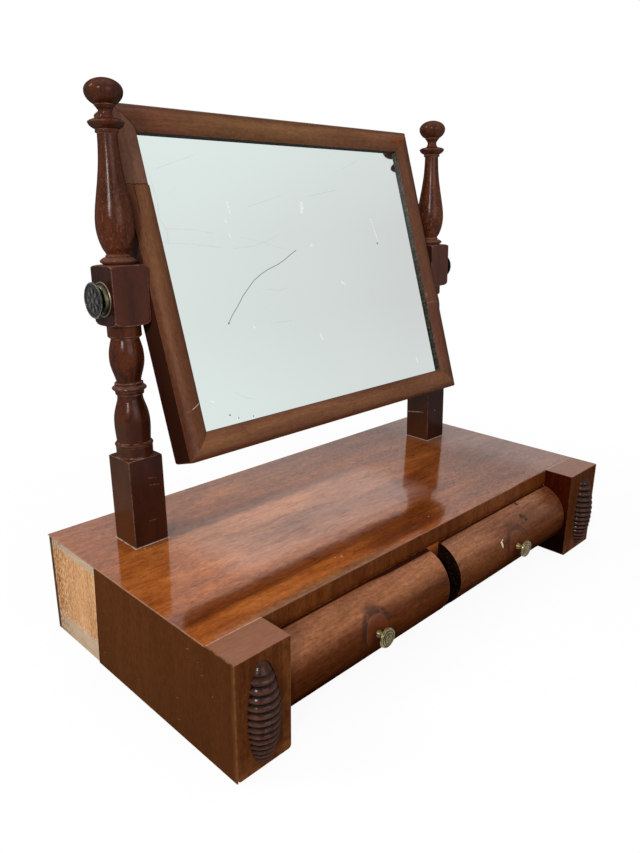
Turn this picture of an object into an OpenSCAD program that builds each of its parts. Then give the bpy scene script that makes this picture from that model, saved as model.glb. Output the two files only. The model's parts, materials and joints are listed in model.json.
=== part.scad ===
// Dressing table mirror: a veneered case with two bow-section drawers, two turned posts,
// and a framed glass that swings between the posts on two screw knobs.
// Millimetres. +X is to the right, +Y to the back, +Z up.
// The origin is on the case's underside, at the middle of its width and depth.

/* [Case] */
// Width of the case over the side veneers
case_w = 560; // [520:1:640]
// Depth of the case from the blocks' faces to the back
case_d = 281; // [260:1:330]
// Height of the case
case_h = 101; // [96:0.5:120]
// How far the corner blocks stand forward of the top's front edge
block_proj = 33.4; // [29:0.1:37]
// Width of the left corner block
left_block_w = 53.4; // [46:0.1:66]
// Width of the right corner block
right_block_w = 63.2; // [56:0.1:76]
// Thickness of the mahogany veneers
veneer_t = 1; // [0.6:0.1:1.6]
// How much of the left side has lost its veneer, measured from the back
bare_len = 87.5; // [40:0.5:120]
// How much further back the break lies at its foot
bare_slant = 6.6; // [0:0.1:12]
// Thickness of the pine top board
top_t = 9; // [8:0.1:12]
// Thickness of the pine bottom board
bottom_t = 11.5; // [9:0.1:13]
// How far the bottom board's front edge sits behind the top's
bottom_setback = 0.9; // [0.5:0.1:6]
// Thickness of the lipping on the bottom board's front edge
lip_strip_t = 3; // [2:0.1:5]
// Thickness of the side boards
side_t = 12; // [9:0.1:14]
// Thickness of the partitions beside the drawers
partition_t = 8; // [6:0.1:10]
// Thickness of the divider between the drawers
divider_t = 18.7; // [12:0.1:22]
// Thickness of the back board
back_t = 5; // [4:0.1:8]
// Height of the cross-grained rail over the drawers, with the veneer on it
front_rail_h = 18.6; // [16:0.1:21]
// Depth of that rail from front to back
front_rail_d = 30; // [22:0.5:40]

/* [Corner bosses] */
// Distance from the case's outer side to the middle of a carved boss
boss_inset = 25.4; // [22:0.1:28]
// How much further in the boss on the right block sits
right_boss_shift = 3.6; // [0:0.1:8]
// Width of a carved boss
boss_w = 30; // [26:0.1:34]
// Height of a carved boss
boss_h = 89; // [80:0.5:92]
// How far a carved boss stands off its block
boss_proj = 12.2; // [9:0.1:14]
// Number of ribs on a carved boss
boss_ribs = 14; // [11:1:16]
// Height of the lowest rib; the ribs above it grow evenly
boss_first_rib = 4.4; // [3.4:0.1:4.8]
// Height of the smooth tip over the ribs
boss_tip = 9; // [5:0.5:14]
// Depth of the grooves between the ribs
boss_groove = 1.5; // [0.8:0.1:2.2]

/* [Drawers] */
// Radius of the bowed drawer front
bow_r = 35.2; // [35:0.1:42]
// How far the bow stands forward of the top's front edge
bow_proj = 29.6; // [25:0.1:31]
// Gap over and under a drawer front
front_gap = 0.6; // [0.4:0.1:1.2]
// Gap at each end of a drawer front
end_gap = 0.4; // [0.3:0.05:0.8]
// Thickness of a drawer front behind the top's front edge
front_back_t = 12; // [9:0.1:16]
// Height of the drawer sides
drawer_side_h = 62; // [50:0.5:66]
// Thickness of the drawer sides and back
drawer_side_t = 6; // [5:0.1:9]
// Thickness of a drawer bottom
drawer_bottom_t = 4; // [3:0.1:5]
// Height of the drawer bottom over the sides' lower edge
drawer_bottom_up = 3; // [2:0.1:6]
// Length of a drawer stop from front to back
stop_len = 8; // [5:0.1:14]
// Height of the middle of the drawer knobs
knob_z = 50.5; // [46:0.1:54]
// Diameter of a drawer knob
knob_d = 18.2; // [15:0.1:20]
// How far a drawer knob stands off the bow
knob_len = 12.2; // [10:0.1:16]
// Diameter of a drawer knob's shank
knob_shank_d = 3; // [2.4:0.1:3.4]

/* [Posts] */
// Distance of a post's axis from the side of the case
post_inset = 61.3; // [50:0.1:70]
// Distance of the posts' foot behind the middle of the case
post_y = 72.5; // [50:0.5:90]
// Backward rake of the posts in degrees
post_rake = 2; // [0:0.1:3]
// Size of the square stock of a post
stock = 34.4; // [32:0.1:36]
// Height of the square foot of a post
plinth_h = 82.6; // [70:0.2:95]
// Height of the square block at the pivot
block_h = 50.3; // [46:0.1:56]
// How far the pivot sits below the middle of that block
block_drop = 2.5; // [0:0.1:4]
// Inward lean of the left post in degrees
left_lean = 0.45; // [0:0.05:0.55]
// How much further out the left post's foot stands
left_foot_out = 0.4; // [0:0.1:1]
// Largest diameter of the lower bulb
bulb_d = 31.6; // [29:0.1:33]
// Largest diameter of the lower baluster
baluster_d = 30.1; // [28:0.1:33]
// Largest diameter of the vase over the block
vase_d = 32; // [29:0.1:33]
// Height of the vase over the block
vase_h = 95.4; // [86:0.2:104]
// Diameter of the ball finial
ball_d = 30.7; // [27:0.1:33]
// Height of the ball finial
ball_h = 21.6; // [19:0.1:25]
// Diameter of the post's tenon in the top board
tenon_d = 16; // [12:0.1:20]

/* [Mirror] */
// Height of the mirror frame
frame_h = 312.5; // [290:0.5:350]
// Backward tilt of the mirror at rest, in degrees
tilt = 18; // [5:0.1:25]
// Gap between the frame and each post
post_gap = 2.2; // [2.2:0.1:4]
// Width of a frame member
member_w = 23.4; // [21:0.1:26]
// Depth of a frame member at its outer edge
member_t = 24.2; // [23:0.1:28]
// Radius of the frame's rounded outer corners
corner_r = 3; // [1:0.1:6]
// Rise of the cushion moulding over its edges
cushion_rise = 4; // [3:0.1:5]
// Thickness of the lip in front of the glass
lip_t = 3.7; // [3:0.1:5]
// Width of the lip that holds the glass
lip_w = 5; // [4:0.1:6]
// Thickness of the mirror glass
glass_t = 3; // [2:0.1:4]
// Thickness of the backboard
backboard_t = 4; // [3:0.1:4.2]
// How far the backboard's rebate reaches under a member
backboard_seat = 10.4; // [9:0.1:11]
// Distance of the pivot in front of the frame's back
pivot_depth = 6.5; // [6.3:0.1:9]
// How far the pivot sits below the middle of the frame
pivot_drop = 4; // [0:0.1:5]
// Height of the splice in the left stile over the middle of the frame
splice_up = 86.9; // [60:0.5:110]
// How much narrower the spliced piece is at the sight edge
splice_step = 1.7; // [0.5:0.1:2.5]

/* [Pivots] */
// Diameter of the pivot screw
screw_d = 5; // [4:0.1:5.6]
// Diameter of the pressed disc on a pivot knob
disc_d = 30.2; // [26:0.2:34]
// How far a pivot knob stands off its post
pivot_knob_len = 9.6; // [9.2:0.1:14]
// Diameter of the domed flange against the post
flange_d = 29.6; // [26:0.2:32]
// Width of the threaded plate, from front to back
plate_w = 11.4; // [11:0.1:12.2]
// Height of the threaded plate
plate_h = 36; // [30:0.2:44]
// Thickness of the threaded plate
plate_t = 2.5; // [2:0.1:3]
// Distance between the plate's two wood screws
plate_screw_span = 25; // [20:0.2:28]

/* [Fits] */
// Radial clearance of a turning screw in its hole
running_gap = 0.08; // [0.04:0.01:0.1]
// Radial clearance of a fixed peg, screw or shank in its hole
fixed_gap = 0.05; // [0.02:0.01:0.1]
// Gap between two fixed pieces that meet at a joint
joint_gap = 0.1; // [0.05:0.05:0.2]
// Gap between a moving piece and its neighbour
slide_gap = 0.3; // [0.2:0.05:0.5]

/* [Hidden] */
$fn = 72;

MAHOGANY = "sienna";
DARK_MAHOGANY = "saddlebrown";
PINE = "burlywood";
BRASS = "darkgoldenrod";
BRONZE = "dimgray";
STEEL = "silver";

// Planes of the case
front_y = -case_d / 2;
top_front_y = front_y + block_proj;
back_y = case_d / 2;
board_back_y = back_y - back_t;
side_x = case_w / 2 - veneer_t;
top_under = case_h - veneer_t - top_t;
rail_under = case_h - front_rail_h;
rail_back_y = top_front_y + front_rail_d;
bottom_front_y = top_front_y + bottom_setback;
boss_growth = 2 * (boss_h - boss_tip - boss_ribs * boss_first_rib) / (boss_ribs * (boss_ribs - 1));
opening_left = -case_w / 2 + left_block_w;
opening_right = case_w / 2 - right_block_w;
divider_x = (opening_left + opening_right) / 2;

// Places of the drawers
bay_w = (opening_right - opening_left - divider_t) / 2;
left_bay_x = opening_left + bay_w / 2;
right_bay_x = opening_right - bay_w / 2;
front_w = bay_w - 2 * end_gap;
bow_crown_y = top_front_y - bow_proj;
bow_y = bow_crown_y + bow_r;
front_low = bottom_t + front_gap;
front_high = rail_under - front_gap;
bow_z = (front_low + front_high) / 2;
front_back_y = top_front_y + front_back_t;
drawer_low = bottom_t + slide_gap;
drawer_back_y = board_back_y - stop_len - slide_gap;
floor_low = drawer_low + drawer_bottom_up;
floor_high = floor_low + drawer_bottom_t;
groove_depth = drawer_side_t / 3;
tail_len = front_back_t * 0.7;
tail_count = 3;
nut_w = 8;
nut_t = 3;

// Heights of the turned parts of a post over its foot
collar_h = 12.9;
bulb_h = 44;
ring_h = 10.5;
baluster_h = 39.5;
neck_collar_h = 11;
bulb_low = plinth_h + collar_h;
ring_low = bulb_low + bulb_h;
baluster_low = ring_low + ring_h;
neck_collar_low = baluster_low + baluster_h;
block_low = neck_collar_low + neck_collar_h;
block_high = block_low + block_h;
torus_h = 6.4;
bead_h = 1.6;
vase_low = block_high + torus_h + bead_h;
vase_high = vase_low + vase_h;
cap_h = 10.4;
neck_h = 11;
ball_low = vase_high + cap_h + neck_h;
ball_z = ball_low + ball_h * 0.435;
pivot_up = (block_low + block_high) / 2 - block_drop;
arris = 0.5;

// Lean of a post, place of its foot, and how far its axis sits from the middle at the pivot
function lean(side) = side < 0 ? left_lean : 0;
function foot_x(side) = side * post_x - (side < 0 ? left_foot_out : 0);
function axis_x(side) = abs(foot_x(side) + (pivot_z - case_h) * tan(lean(side)));
function outer_x(side) = axis_x(side) + half_stock / cos(lean(side));
function inner_x(side) = axis_x(side) - half_stock / cos(lean(side));

// Place of the pivot axis and of the mirror
post_x = case_w / 2 - post_inset;
half_stock = stock / 2;
pivot_y = post_y + pivot_up * sin(post_rake);
pivot_z = case_h + pivot_up * cos(post_rake);
frame_w = 2 * (post_x - half_stock - post_gap);
sight_w = frame_w - 2 * member_w;
sight_h = frame_h - 2 * member_w;
crown_t = member_t + cushion_rise;
cushion_r = (pow(member_w / 2, 2) + pow(cushion_rise, 2)) / (2 * cushion_rise);
glass_front = member_t - lip_t;
backboard_rebate = backboard_t + 0.2;
rebate_w = member_w - lip_w;
seat_w = member_w - backboard_seat;
screw_reach = 10;
plate_screw_len = 11;
flange_h = 5.8;
back_screw_len = 13;

// Points along a smooth curve through [height, radius] keys, steps to each stretch
function curve(keys, steps = 4) = concat(
    [for (i = [0 : len(keys) - 2]) for (j = [0 : steps - 1]) curve_point(keys, i, j / steps)],
    [keys[len(keys) - 1]]);
function key(keys, i) = keys[max(0, min(len(keys) - 1, i))];
function curve_point(keys, i, t) = let (a = key(keys, i - 1), b = keys[i], c = keys[i + 1],
    d = key(keys, i + 2))
    [b[0] + (c[0] - b[0]) * t,
     blend(a[1], b[1], c[1], d[1], t)];
function blend(a, b, c, d, t) = (2 * b + (c - a) * t + (2 * a - 5 * b + 4 * c - d) * t * t
    + (3 * b - a - 3 * c + d) * t * t * t) / 2;

// Points of a round bead of radius r, from height z to z + h, standing rise over r
function bead(z, h, r, rise, steps = 8) =
    [for (i = [0 : steps]) [z + h * i / steps, r + rise * sin(180 * i / steps)]];

// Profile [height, radius] of the turning between the plinth and the pivot block
lower_turning = concat(
    [[plinth_h - 1, 16.6], [plinth_h, 16.6], [plinth_h + 1.2, 16.2], [plinth_h + 9.3, 16.2]],
    bead(plinth_h + 9.8, 2.8, 16.2, 0.8, 6),
    curve([for (k = [[0.3, -0.9], [6, -0.5], [12, -0.1], [17.5, 0], [23, -0.3], [28.5, -1.3],
        [34, -2.9], [39, -4.4], [43.6, -4.7]]) [bulb_low + k[0], bulb_d / 2 + k[1]]]),
    [[ring_low, 12.4], [ring_low + 2.8, 12.7]],
    bead(ring_low + 3, 4.8, 12.7, 2.4, 8),
    [[ring_low + 8, 12.6], [ring_low + 10.3, 12.4]],
    curve([for (k = [[0, -4.6], [5, -3.4], [11, -1.6], [17, -0.3], [22.5, 0], [28, -0.4],
        [33, -1.4], [39, -2.9]]) [baluster_low + k[0], baluster_d / 2 + k[1]]]),
    [[neck_collar_low, 13.3], [neck_collar_low + 1.2, 14.6], [block_low + 1, 14.6]]);

// Profile of the turning over the pivot block, up to the neck of the ball
upper_turning = concat(
    [[block_high - 1, 11.4]],
    bead(block_high, torus_h - 0.2, 11.4, 3.7, 10),
    bead(block_high + torus_h, bead_h, 9.6, 0.9, 6),
    curve([for (k = [[0.1, -6.9], [5.5, -4], [12, -1.7], [19.5, -0.3], [25, 0], [33, -0.5],
        [45, -2.3], [58, -4.6], [72, -6.6], [84, -7.6], [95, -8]])
        [vase_low + k[0] * vase_h / 95.4, vase_d / 2 + k[1]]]),
    bead(vase_high, 2.4, 9, 0.5, 6),
    curve([for (k = [[2.6, 9.4], [3.6, 11.2], [5.2, 13.3], [7, 14.4]]) [vase_high + k[0], k[1]]], 3),
    [[vase_high + 7.7, 14.7], [vase_high + 8.5, 14.5]],
    curve([for (k = [[9, 13.6], [10, 11.4], [10.5, 8.4], [11.6, 6.3], [14.4, 5.3], [16.8, 5.6], [19.4, 7.4]])
        [vase_high + k[0], k[1]]], 3),
    bead(ball_low - 1.5, 1.5, 8, 0.4, 4),
    [for (a = [-54 : 4 : 90]) [ball_z + ball_h * (a < 0 ? 0.54 : 0.46) * sin(a), ball_d / 2 * cos(a)]]);

// A solid turned from a list of [height, radius]
module turned(profile) {
    last = len(profile) - 1;
    rotate_extrude()
        polygon(concat([[0, profile[0][0]]], [for (p = profile) [max(0, p[1]), p[0]]],
            [[0, profile[last][0]]]));
}

// A square with rounded corners, made of true squares and circles
module soft_square(size, r) {
    square([size, size - 2 * r], center = true);
    square([size - 2 * r, size], center = true);
    for (x = [-1, 1], y = [-1, 1])
        translate([x, y] * (size / 2 - r)) circle(r);
}

// The lathe's shoulders on square stock, from low to high, each with its rise; 0 leaves it square
module shoulders(low, high, low_rise, high_rise) {
    reach = half_stock * sqrt(2);
    start = half_stock * 1.04;
    steps = [0 : 15 : 90];
    low_arc = low_rise > 0
        ? [for (a = steps) [low + low_rise * (1 - cos(a)), start + (reach - start) * sin(a)]]
        : [[low, reach]];
    high_arc = high_rise > 0
        ? [for (a = steps) [high - high_rise * (1 - sin(a)), start + (reach - start) * cos(a)]]
        : [[high, reach]];
    turned(concat(low_arc, high_arc));
}

// A length of the square stock with its lathe-cut shoulders
module squared_length(low, high, low_rise, high_rise) {
    intersection() {
        translate([0, 0, low]) linear_extrude(high - low) soft_square(stock, arris);
        shoulders(low, high, low_rise, high_rise);
    }
}

// Places a child on a raked post, foot at zero; side is -1 or 1
module on_post(side) {
    translate([foot_x(side), post_y, case_h]) rotate([-post_rake, lean(side), 0]) children();
}

// Places a child with its +Z along the pivot, pointing out of the given side
module on_pivot(side, x) {
    translate([side * x, pivot_y, pivot_z]) rotate([0, side * 90, 0]) children();
}

// Places a child flat on a post's face at the given distance, +Z pointing out of that side
module on_face(side, x) {
    translate([side * x, pivot_y, pivot_z]) rotate([0, lean(side), 0]) rotate([0, side * 90, 0]) children();
}

// The tenon of a post, or its hole with a clearance
module tenon(gap) {
    translate([0, 0, -top_t - veneer_t - (gap > 0 ? 2 : -0.6)])
        cylinder(d = tenon_d + 2 * gap, h = top_t + veneer_t + 3);
}

module post(side) {
    difference() {
        union() {
            difference() {
                on_post(side) {
                    squared_length(-2, plinth_h, 0, 1.2);
                    turned(lower_turning);
                    squared_length(block_low, block_high, 5, 3);
                    turned(upper_turning);
                }
                translate([foot_x(side), post_y, case_h - 5])
                    cube([stock * 2, stock * 2, 10], center = true);
            }
            on_post(side) tenon(0);
        }
        on_pivot(side, post_x - stock)
            cylinder(d = screw_d + 2 * running_gap, h = stock * 2);
    }
}

// A board along X from x0 to x1 whose front is notched under the front rail
module notched_board(x0, x1) {
    translate([x0, 0, 0]) rotate([90, 0, 90]) linear_extrude(x1 - x0)
        polygon([[top_front_y, bottom_t], [board_back_y, bottom_t],
            [board_back_y, top_under], [rail_back_y, top_under],
            [rail_back_y, rail_under], [top_front_y, rail_under]]);
}

module corner_block(x0, x1) {
    foot_r = 3;
    translate([0, top_front_y, 0]) rotate([90, 0, 0]) linear_extrude(block_proj) {
        translate([x0, foot_r]) square([x1 - x0, case_h - foot_r]);
        translate([x0 + foot_r, 0]) square([x1 - x0 - 2 * foot_r, foot_r + 1]);
        for (x = [x0 + foot_r, x1 - foot_r])
            translate([x, foot_r]) circle(foot_r);
    }
}

// Height of the groove under rib i of a boss, over the boss's foot
function groove_z(i) = boss_first_rib * i + boss_growth * i * (i - 1) / 2;

// Radius of a boss at height z over its foot; rib is 0 in a groove and 1 on a crest
function boss_radius(z, rib, back) = let (s = 2 * z / boss_h - 1, half = boss_w / 2 * sqrt(max(0, 1 - s * s)))
    sqrt(half * half + back * back) + 0.4 * rib - boss_groove * (1 - rib);

// A ribbed oval boss: a slice of a turning whose axis lies behind the block's face
module boss(x) {
    back = (pow(boss_w / 2, 2) - pow(boss_proj, 2)) / (2 * boss_proj);
    steps = 6;
    ribs = [for (i = [0 : boss_ribs - 1]) for (j = [0 : steps - 1])
        let (z = groove_z(i) + (groove_z(i + 1) - groove_z(i)) * j / steps)
        [z, boss_radius(z, pow(sin(180 * j / steps), 0.7), back)]];
    tip_z = groove_z(boss_ribs);
    tip = [for (t = [0, 0.06, 0.15, 0.3, 0.5, 0.68, 0.82, 0.92, 0.98, 1]) let (z = tip_z + boss_tip * t)
        [z, boss_radius(z, min(1, t * 12), back)]];
    intersection() {
        translate([x, front_y + back, case_h / 2 - 2 - boss_h / 2]) turned(concat(ribs, tip));
        translate([x - boss_w, front_y - boss_proj * 2, 0]) cube([boss_w * 2, boss_proj * 2, case_h]);
    }
}

// Section of a frame member: x from the outer edge inward, y from the back forward
module member_section() {
    difference() {
        union() {
            square([member_w, member_t]);
            intersection() {
                translate([0, member_t - 1]) square([member_w, cushion_rise + 2]);
                translate([member_w / 2, crown_t - cushion_r]) circle(cushion_r, $fn = 180);
            }
        }
        translate([rebate_w, -1]) square([lip_w + 1, glass_front + 1]);
        translate([seat_w, -1]) square([backboard_seat + 1, backboard_rebate + 1]);
    }
}

// Outline of a frame member with its mitres and half of the frame's rounded corners
module member_outline(length) {
    half = length / 2 - joint_gap / 2;
    round_x = length / 2 - corner_r;
    intersection() {
        polygon([[-half, 0], [half, 0], [half - member_w, member_w], [-half + member_w, member_w]]);
        union() {
            translate([-round_x, 0]) square([2 * round_x, member_w + 1]);
            translate([-length / 2, corner_r]) square([length, member_w]);
            for (x = [-1, 1]) translate([x * round_x, corner_r]) circle(corner_r);
        }
    }
}

// A mitred member, along X from its middle, y inward from its outer edge, z forward
module member(length) {
    intersection() {
        rotate([90, 0, 90]) linear_extrude(length, center = true) member_section();
        linear_extrude(crown_t + 1) member_outline(length);
    }
}

// Places a child in the swinging mirror's own frame, whose origin is the pivot axis
module on_mirror() {
    translate([0, pivot_y, pivot_z]) rotate([-tilt, 0, 0]) children();
}

// Places a member on the frame: 0 bottom, 90 left, 180 top, -90 right
module frame_member(angle, length, reach) {
    translate([0, pivot_depth, pivot_drop]) rotate([0, angle, 0])
        translate([0, 0, -reach]) rotate([90, 0, 0]) member(length);
}

// Holes for the backboard screws, or the screws themselves
module back_screws(gap) {
    inset = (seat_w + rebate_w) / 2;
    places = [for (z = [-1, 1], x = [-0.62, 0, 0.62])
        [x * sight_w / 2, z * (frame_h / 2 - inset)]];
    sides = [for (x = [-1, 1]) [x * (frame_w / 2 - inset), -sight_h / 4]];
    for (p = concat(places, sides))
        translate([p[0], pivot_depth, pivot_drop + p[1]]) rotate([90, 0, 0]) {
            cylinder(d = 2.2 + 2 * gap, h = back_screw_len + gap);
            translate([0, 0, gap > 0 ? -1 : 0]) cylinder(d = 4.4 + 2 * gap, h = 1.3 + (gap > 0 ? 1 : 0));
        }
}

// Recess, pivot hole and screw holes of the threaded plate in one stile
module plate_seat(side) {
    translate([side * frame_w / 2, 0, 0]) rotate([0, -side * 90, 0]) {
        translate([-plate_h / 2 - joint_gap, -plate_w / 2 - joint_gap, -1])
            cube([plate_h + 2 * joint_gap, plate_w + 2 * joint_gap, plate_t + 1]);
        cylinder(d = screw_d + 1, h = screw_reach + 1);
        plate_screw_pair(fixed_gap);
    }
}

// The two wood screws of a threaded plate, along +Z from the plate's face
module plate_screw_pair(gap) {
    for (x = [-1, 1]) translate([x * plate_screw_span / 2, 0, 0]) {
        cylinder(d = 2.4 + 2 * gap, h = plate_screw_len + gap);
        translate([0, 0, -gap]) cylinder(d1 = 4.8 + 2 * gap, d2 = 2.4 + 2 * gap, h = 1.6 + 2 * gap);
    }
}

module pivot_plate(side) {
    on_mirror() translate([side * frame_w / 2, 0, 0]) rotate([0, -side * 90, 0])
        difference() {
            translate([-plate_h / 2, -plate_w / 2, 0]) cube([plate_h, plate_w, plate_t - joint_gap]);
            translate([0, 0, -1]) cylinder(d = screw_d + 2 * running_gap, h = plate_t + 2);
            plate_screw_pair(fixed_gap);
        }
}

// The domed flange on the post's outer face, +Z outward, bored along the pivot
module pivot_flange(side) {
    difference() {
        on_face(side, outer_x(side)) turned(concat(
            [[0, flange_d / 2 - 0.2], [0.5, flange_d / 2], [1.1, flange_d / 2], [1.7, flange_d / 2 - 0.5],
            [1.8, flange_d / 2 - 1], [1.2, flange_d / 2 - 1.6]],
            curve([for (k = [[1.4, -2], [2.6, -2.3], [4, -2.9], [5, -4.2], [flange_h, -6.8]])
                [k[0], flange_d / 2 + k[1]]], 3)));
        on_pivot(side, outer_x(side) - 2) cylinder(d = screw_d + 2 * running_gap, h = flange_h + 4);
    }
}

// The knob: a neck on the flange and a pressed disc with a raised rim, bored for its screw
module pivot_knob(side) {
    start = flange_h + slide_gap;
    face = pivot_knob_len - 0.7;
    on_pivot(side, outer_x(side)) difference() {
        turned(concat([[start, 6.4], [start + 0.4, 6.6]],
            curve([[start + 0.6, 7], [start + 1, 10.5], [face - 0.7, disc_d / 2 - 1.2]], 3),
            [[face - 0.4, disc_d / 2 - 0.2], [face - 0.1, disc_d / 2], [face + 0.4, disc_d / 2 - 0.1],
            [face + 0.7, disc_d / 2 - 0.6], [face + 0.6, disc_d / 2 - 1.1], [face + 0.1, disc_d / 2 - 1.5],
            [face, disc_d / 2 - 2.2], [face + 0.2, 6], [face + 0.3, 2]]));
        translate([0, 0, start - 1])
            cylinder(d = screw_d + 2 * fixed_gap, h = face - start + 0.4);
    }
}

module pivot_screw(side) {
    tip = frame_w / 2 - screw_reach;
    top = outer_x(side) + pivot_knob_len - 1.4;
    on_pivot(side, tip) cylinder(d = screw_d, h = top - tip);
}

// The washer on the post's inner face
module pivot_spacer(side) {
    thick = inner_x(side) - frame_w / 2 - slide_gap - 0.1;
    difference() {
        on_face(side, inner_x(side)) translate([0, 0, -thick - 0.02]) cylinder(d = plate_w + 1, h = thick);
        on_pivot(side, inner_x(side) - post_gap) cylinder(d = screw_d + 2 * running_gap, h = post_gap + 2);
    }
}

// Dovetails at the front end of a drawer side, as an outline in depth and height
module tails(gap) {
    pitch = drawer_side_h / tail_count;
    root = pitch * 0.24 + gap;
    flare = tail_len * 0.16;
    for (i = [0 : tail_count - 1])
        translate([0, drawer_low + pitch * (i + 0.5)])
            polygon([[front_back_y + joint_gap, -root - 1.6], [front_back_y + joint_gap, root + 1.6],
                [front_back_y - tail_len - gap, root + 1.6 + flare],
                [front_back_y - tail_len - gap, -root - 1.6 - flare]]);
}

// A drawer side with its dovetails, groove for the bottom, x0 to x1; inward is -1 or 1
module drawer_side(x0, inward) {
    difference() {
        translate([x0, 0, 0]) rotate([90, 0, 90]) linear_extrude(drawer_side_t) {
            translate([front_back_y, drawer_low])
                square([drawer_back_y - front_back_y, drawer_side_h]);
            tails(-joint_gap);
        }
        translate([x0 + drawer_side_t / 2 + inward * (drawer_side_t - groove_depth),
            front_back_y - groove_depth, (floor_low + floor_high) / 2])
            translate([-drawer_side_t / 2, 0, -drawer_bottom_t / 2 - joint_gap])
            cube([drawer_side_t, case_d, drawer_bottom_t + 2 * joint_gap]);
    }
}

module drawer_front(x) {
    half = front_w / 2;
    sides_out = half - 0.2;
    difference() {
        translate([x - half, 0, 0]) rotate([90, 0, 90]) linear_extrude(front_w) intersection() {
            translate([bow_y, bow_z]) circle(bow_r, $fn = 180);
            translate([bow_crown_y - 1, front_low])
                square([front_back_y - bow_crown_y + 1, front_high - front_low]);
        }
        for (s = [-1, 1])
            translate([x + (s < 0 ? -sides_out - 1 : sides_out - drawer_side_t - joint_gap), 0, 0])
                rotate([90, 0, 90]) linear_extrude(drawer_side_t + joint_gap + 1) tails(0);
        translate([x - half + drawer_side_t - groove_depth, front_back_y - groove_depth, floor_low - joint_gap])
            cube([front_w - 2 * (drawer_side_t - groove_depth), case_d, drawer_bottom_t + 2 * joint_gap]);
        translate([x, bow_crown_y - 1, knob_z]) rotate([-90, 0, 0])
            cylinder(d = knob_shank_d + 2 * fixed_gap, h = bow_r * 2);
    }
}

module drawer_back(x) {
    half = front_w / 2 - 0.2 - drawer_side_t - joint_gap;
    translate([x - half, drawer_back_y - drawer_side_t, floor_high + joint_gap])
        cube([half * 2, drawer_side_t, drawer_low + drawer_side_h - floor_high - joint_gap]);
}

module drawer_bottom(x) {
    half = front_w / 2 - 0.2 - drawer_side_t + groove_depth - joint_gap;
    translate([x - half, front_back_y - groove_depth + joint_gap, floor_low])
        cube([half * 2, drawer_back_y - front_back_y + groove_depth - joint_gap, drawer_bottom_t]);
}

// A brass knob with a ringed disc and a waisted neck, and its shank through the front
module drawer_knob(x) {
    disc = knob_d / 2;
    len = knob_len;
    translate([x, bow_crown_y, knob_z]) rotate([90, 0, 0]) {
        turned(concat(
            curve([[0, 3.7], [0.8, 3.6], [3, 2.6], [5.4, 2.1], [len - 5, 2.8], [len - 4, 4]], 3),
            [[len - 3.7, disc - 1], [len - 3.3, disc - 0.2]],
            bead(len - 3.2, 1.2, disc - 0.2, 0.2, 4), bead(len - 1.9, 1, disc - 0.6, 0.3, 4),
            [[len - 0.8, disc - 1.2], [len - 1.2, disc - 2.2], [len - 0.7, disc - 3.2],
            [len - 1, disc - 4.4], [len - 0.4, disc - 5.6], [len - 0.2, disc - 7]]));
        shank_end = front_back_y - bow_crown_y + nut_t + 2;
        translate([0, 0, -shank_end]) cylinder(d = knob_shank_d, h = shank_end + 0.5);
    }
}

module drawer_nut(x) {
    translate([x, front_back_y, knob_z]) rotate([-90, 0, 0]) difference() {
        translate([-nut_w / 2, -nut_w / 2, 0]) cube([nut_w, nut_w, nut_t]);
        translate([0, 0, -1]) cylinder(d = knob_shank_d + 2 * fixed_gap, h = nut_t + 2);
    }
}

// Case
module top_board() {
    color(PINE) difference() {
        translate([-side_x, rail_back_y, top_under]) cube([2 * side_x, board_back_y - rail_back_y, top_t]);
        for (s = [-1, 1]) on_post(s) tenon(fixed_gap);
    }
}
module top_veneer() {
    color(MAHOGANY) difference() {
        translate([-case_w / 2, top_front_y, case_h - veneer_t])
            cube([case_w, back_y - top_front_y, veneer_t]);
        for (s = [-1, 1]) on_post(s) tenon(fixed_gap);
    }
}
module front_rail() {
    color(MAHOGANY) translate([-side_x, top_front_y, rail_under])
        cube([2 * side_x, front_rail_d, front_rail_h - veneer_t]);
}
module bottom_board() {
    lipped_y = bottom_front_y + lip_strip_t;
    color(PINE) difference() {
        translate([-side_x, top_front_y, 0]) cube([2 * side_x, board_back_y - top_front_y, bottom_t]);
        translate([opening_left, top_front_y - 1, -1])
            cube([opening_right - opening_left, lipped_y - top_front_y + 1, bottom_t + 2]);
    }
}
module bottom_lipping() {
    color(DARK_MAHOGANY) translate([opening_left, bottom_front_y, 0])
        cube([opening_right - opening_left, lip_strip_t, bottom_t]);
}
module left_side() { color(PINE) notched_board(-side_x, -side_x + side_t); }
module right_side() { color(PINE) notched_board(side_x - side_t, side_x); }
module left_partition() { color(PINE) notched_board(opening_left - partition_t, opening_left); }
module right_partition() { color(PINE) notched_board(opening_right, opening_right + partition_t); }
module centre_divider() {
    color(MAHOGANY) notched_board(divider_x - divider_t / 2, divider_x + divider_t / 2);
}
module back_board() {
    color(DARK_MAHOGANY) translate([-side_x, board_back_y, 0])
        cube([2 * side_x, back_t, case_h - veneer_t]);
}
module left_side_veneer() {
    end_y = back_y - bare_len;
    color(DARK_MAHOGANY) translate([-case_w / 2, 0, 0]) rotate([90, 0, 90]) linear_extrude(veneer_t)
        polygon([[front_y, 0], [end_y + bare_slant, 0], [end_y, case_h - veneer_t],
            [top_front_y, case_h - veneer_t], [top_front_y, case_h], [front_y, case_h]]);
}
module right_side_veneer() {
    color(DARK_MAHOGANY) translate([side_x, 0, 0]) rotate([90, 0, 90]) linear_extrude(veneer_t)
        polygon([[front_y, 0], [back_y, 0], [back_y, case_h - veneer_t],
            [top_front_y, case_h - veneer_t], [top_front_y, case_h], [front_y, case_h]]);
}
module left_block() { color(MAHOGANY) corner_block(-side_x, opening_left); }
module right_block() { color(MAHOGANY) corner_block(opening_right, side_x); }
module left_boss() { color(DARK_MAHOGANY) boss(-case_w / 2 + boss_inset); }
module right_boss() { color(DARK_MAHOGANY) boss(case_w / 2 - boss_inset - right_boss_shift); }
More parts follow.
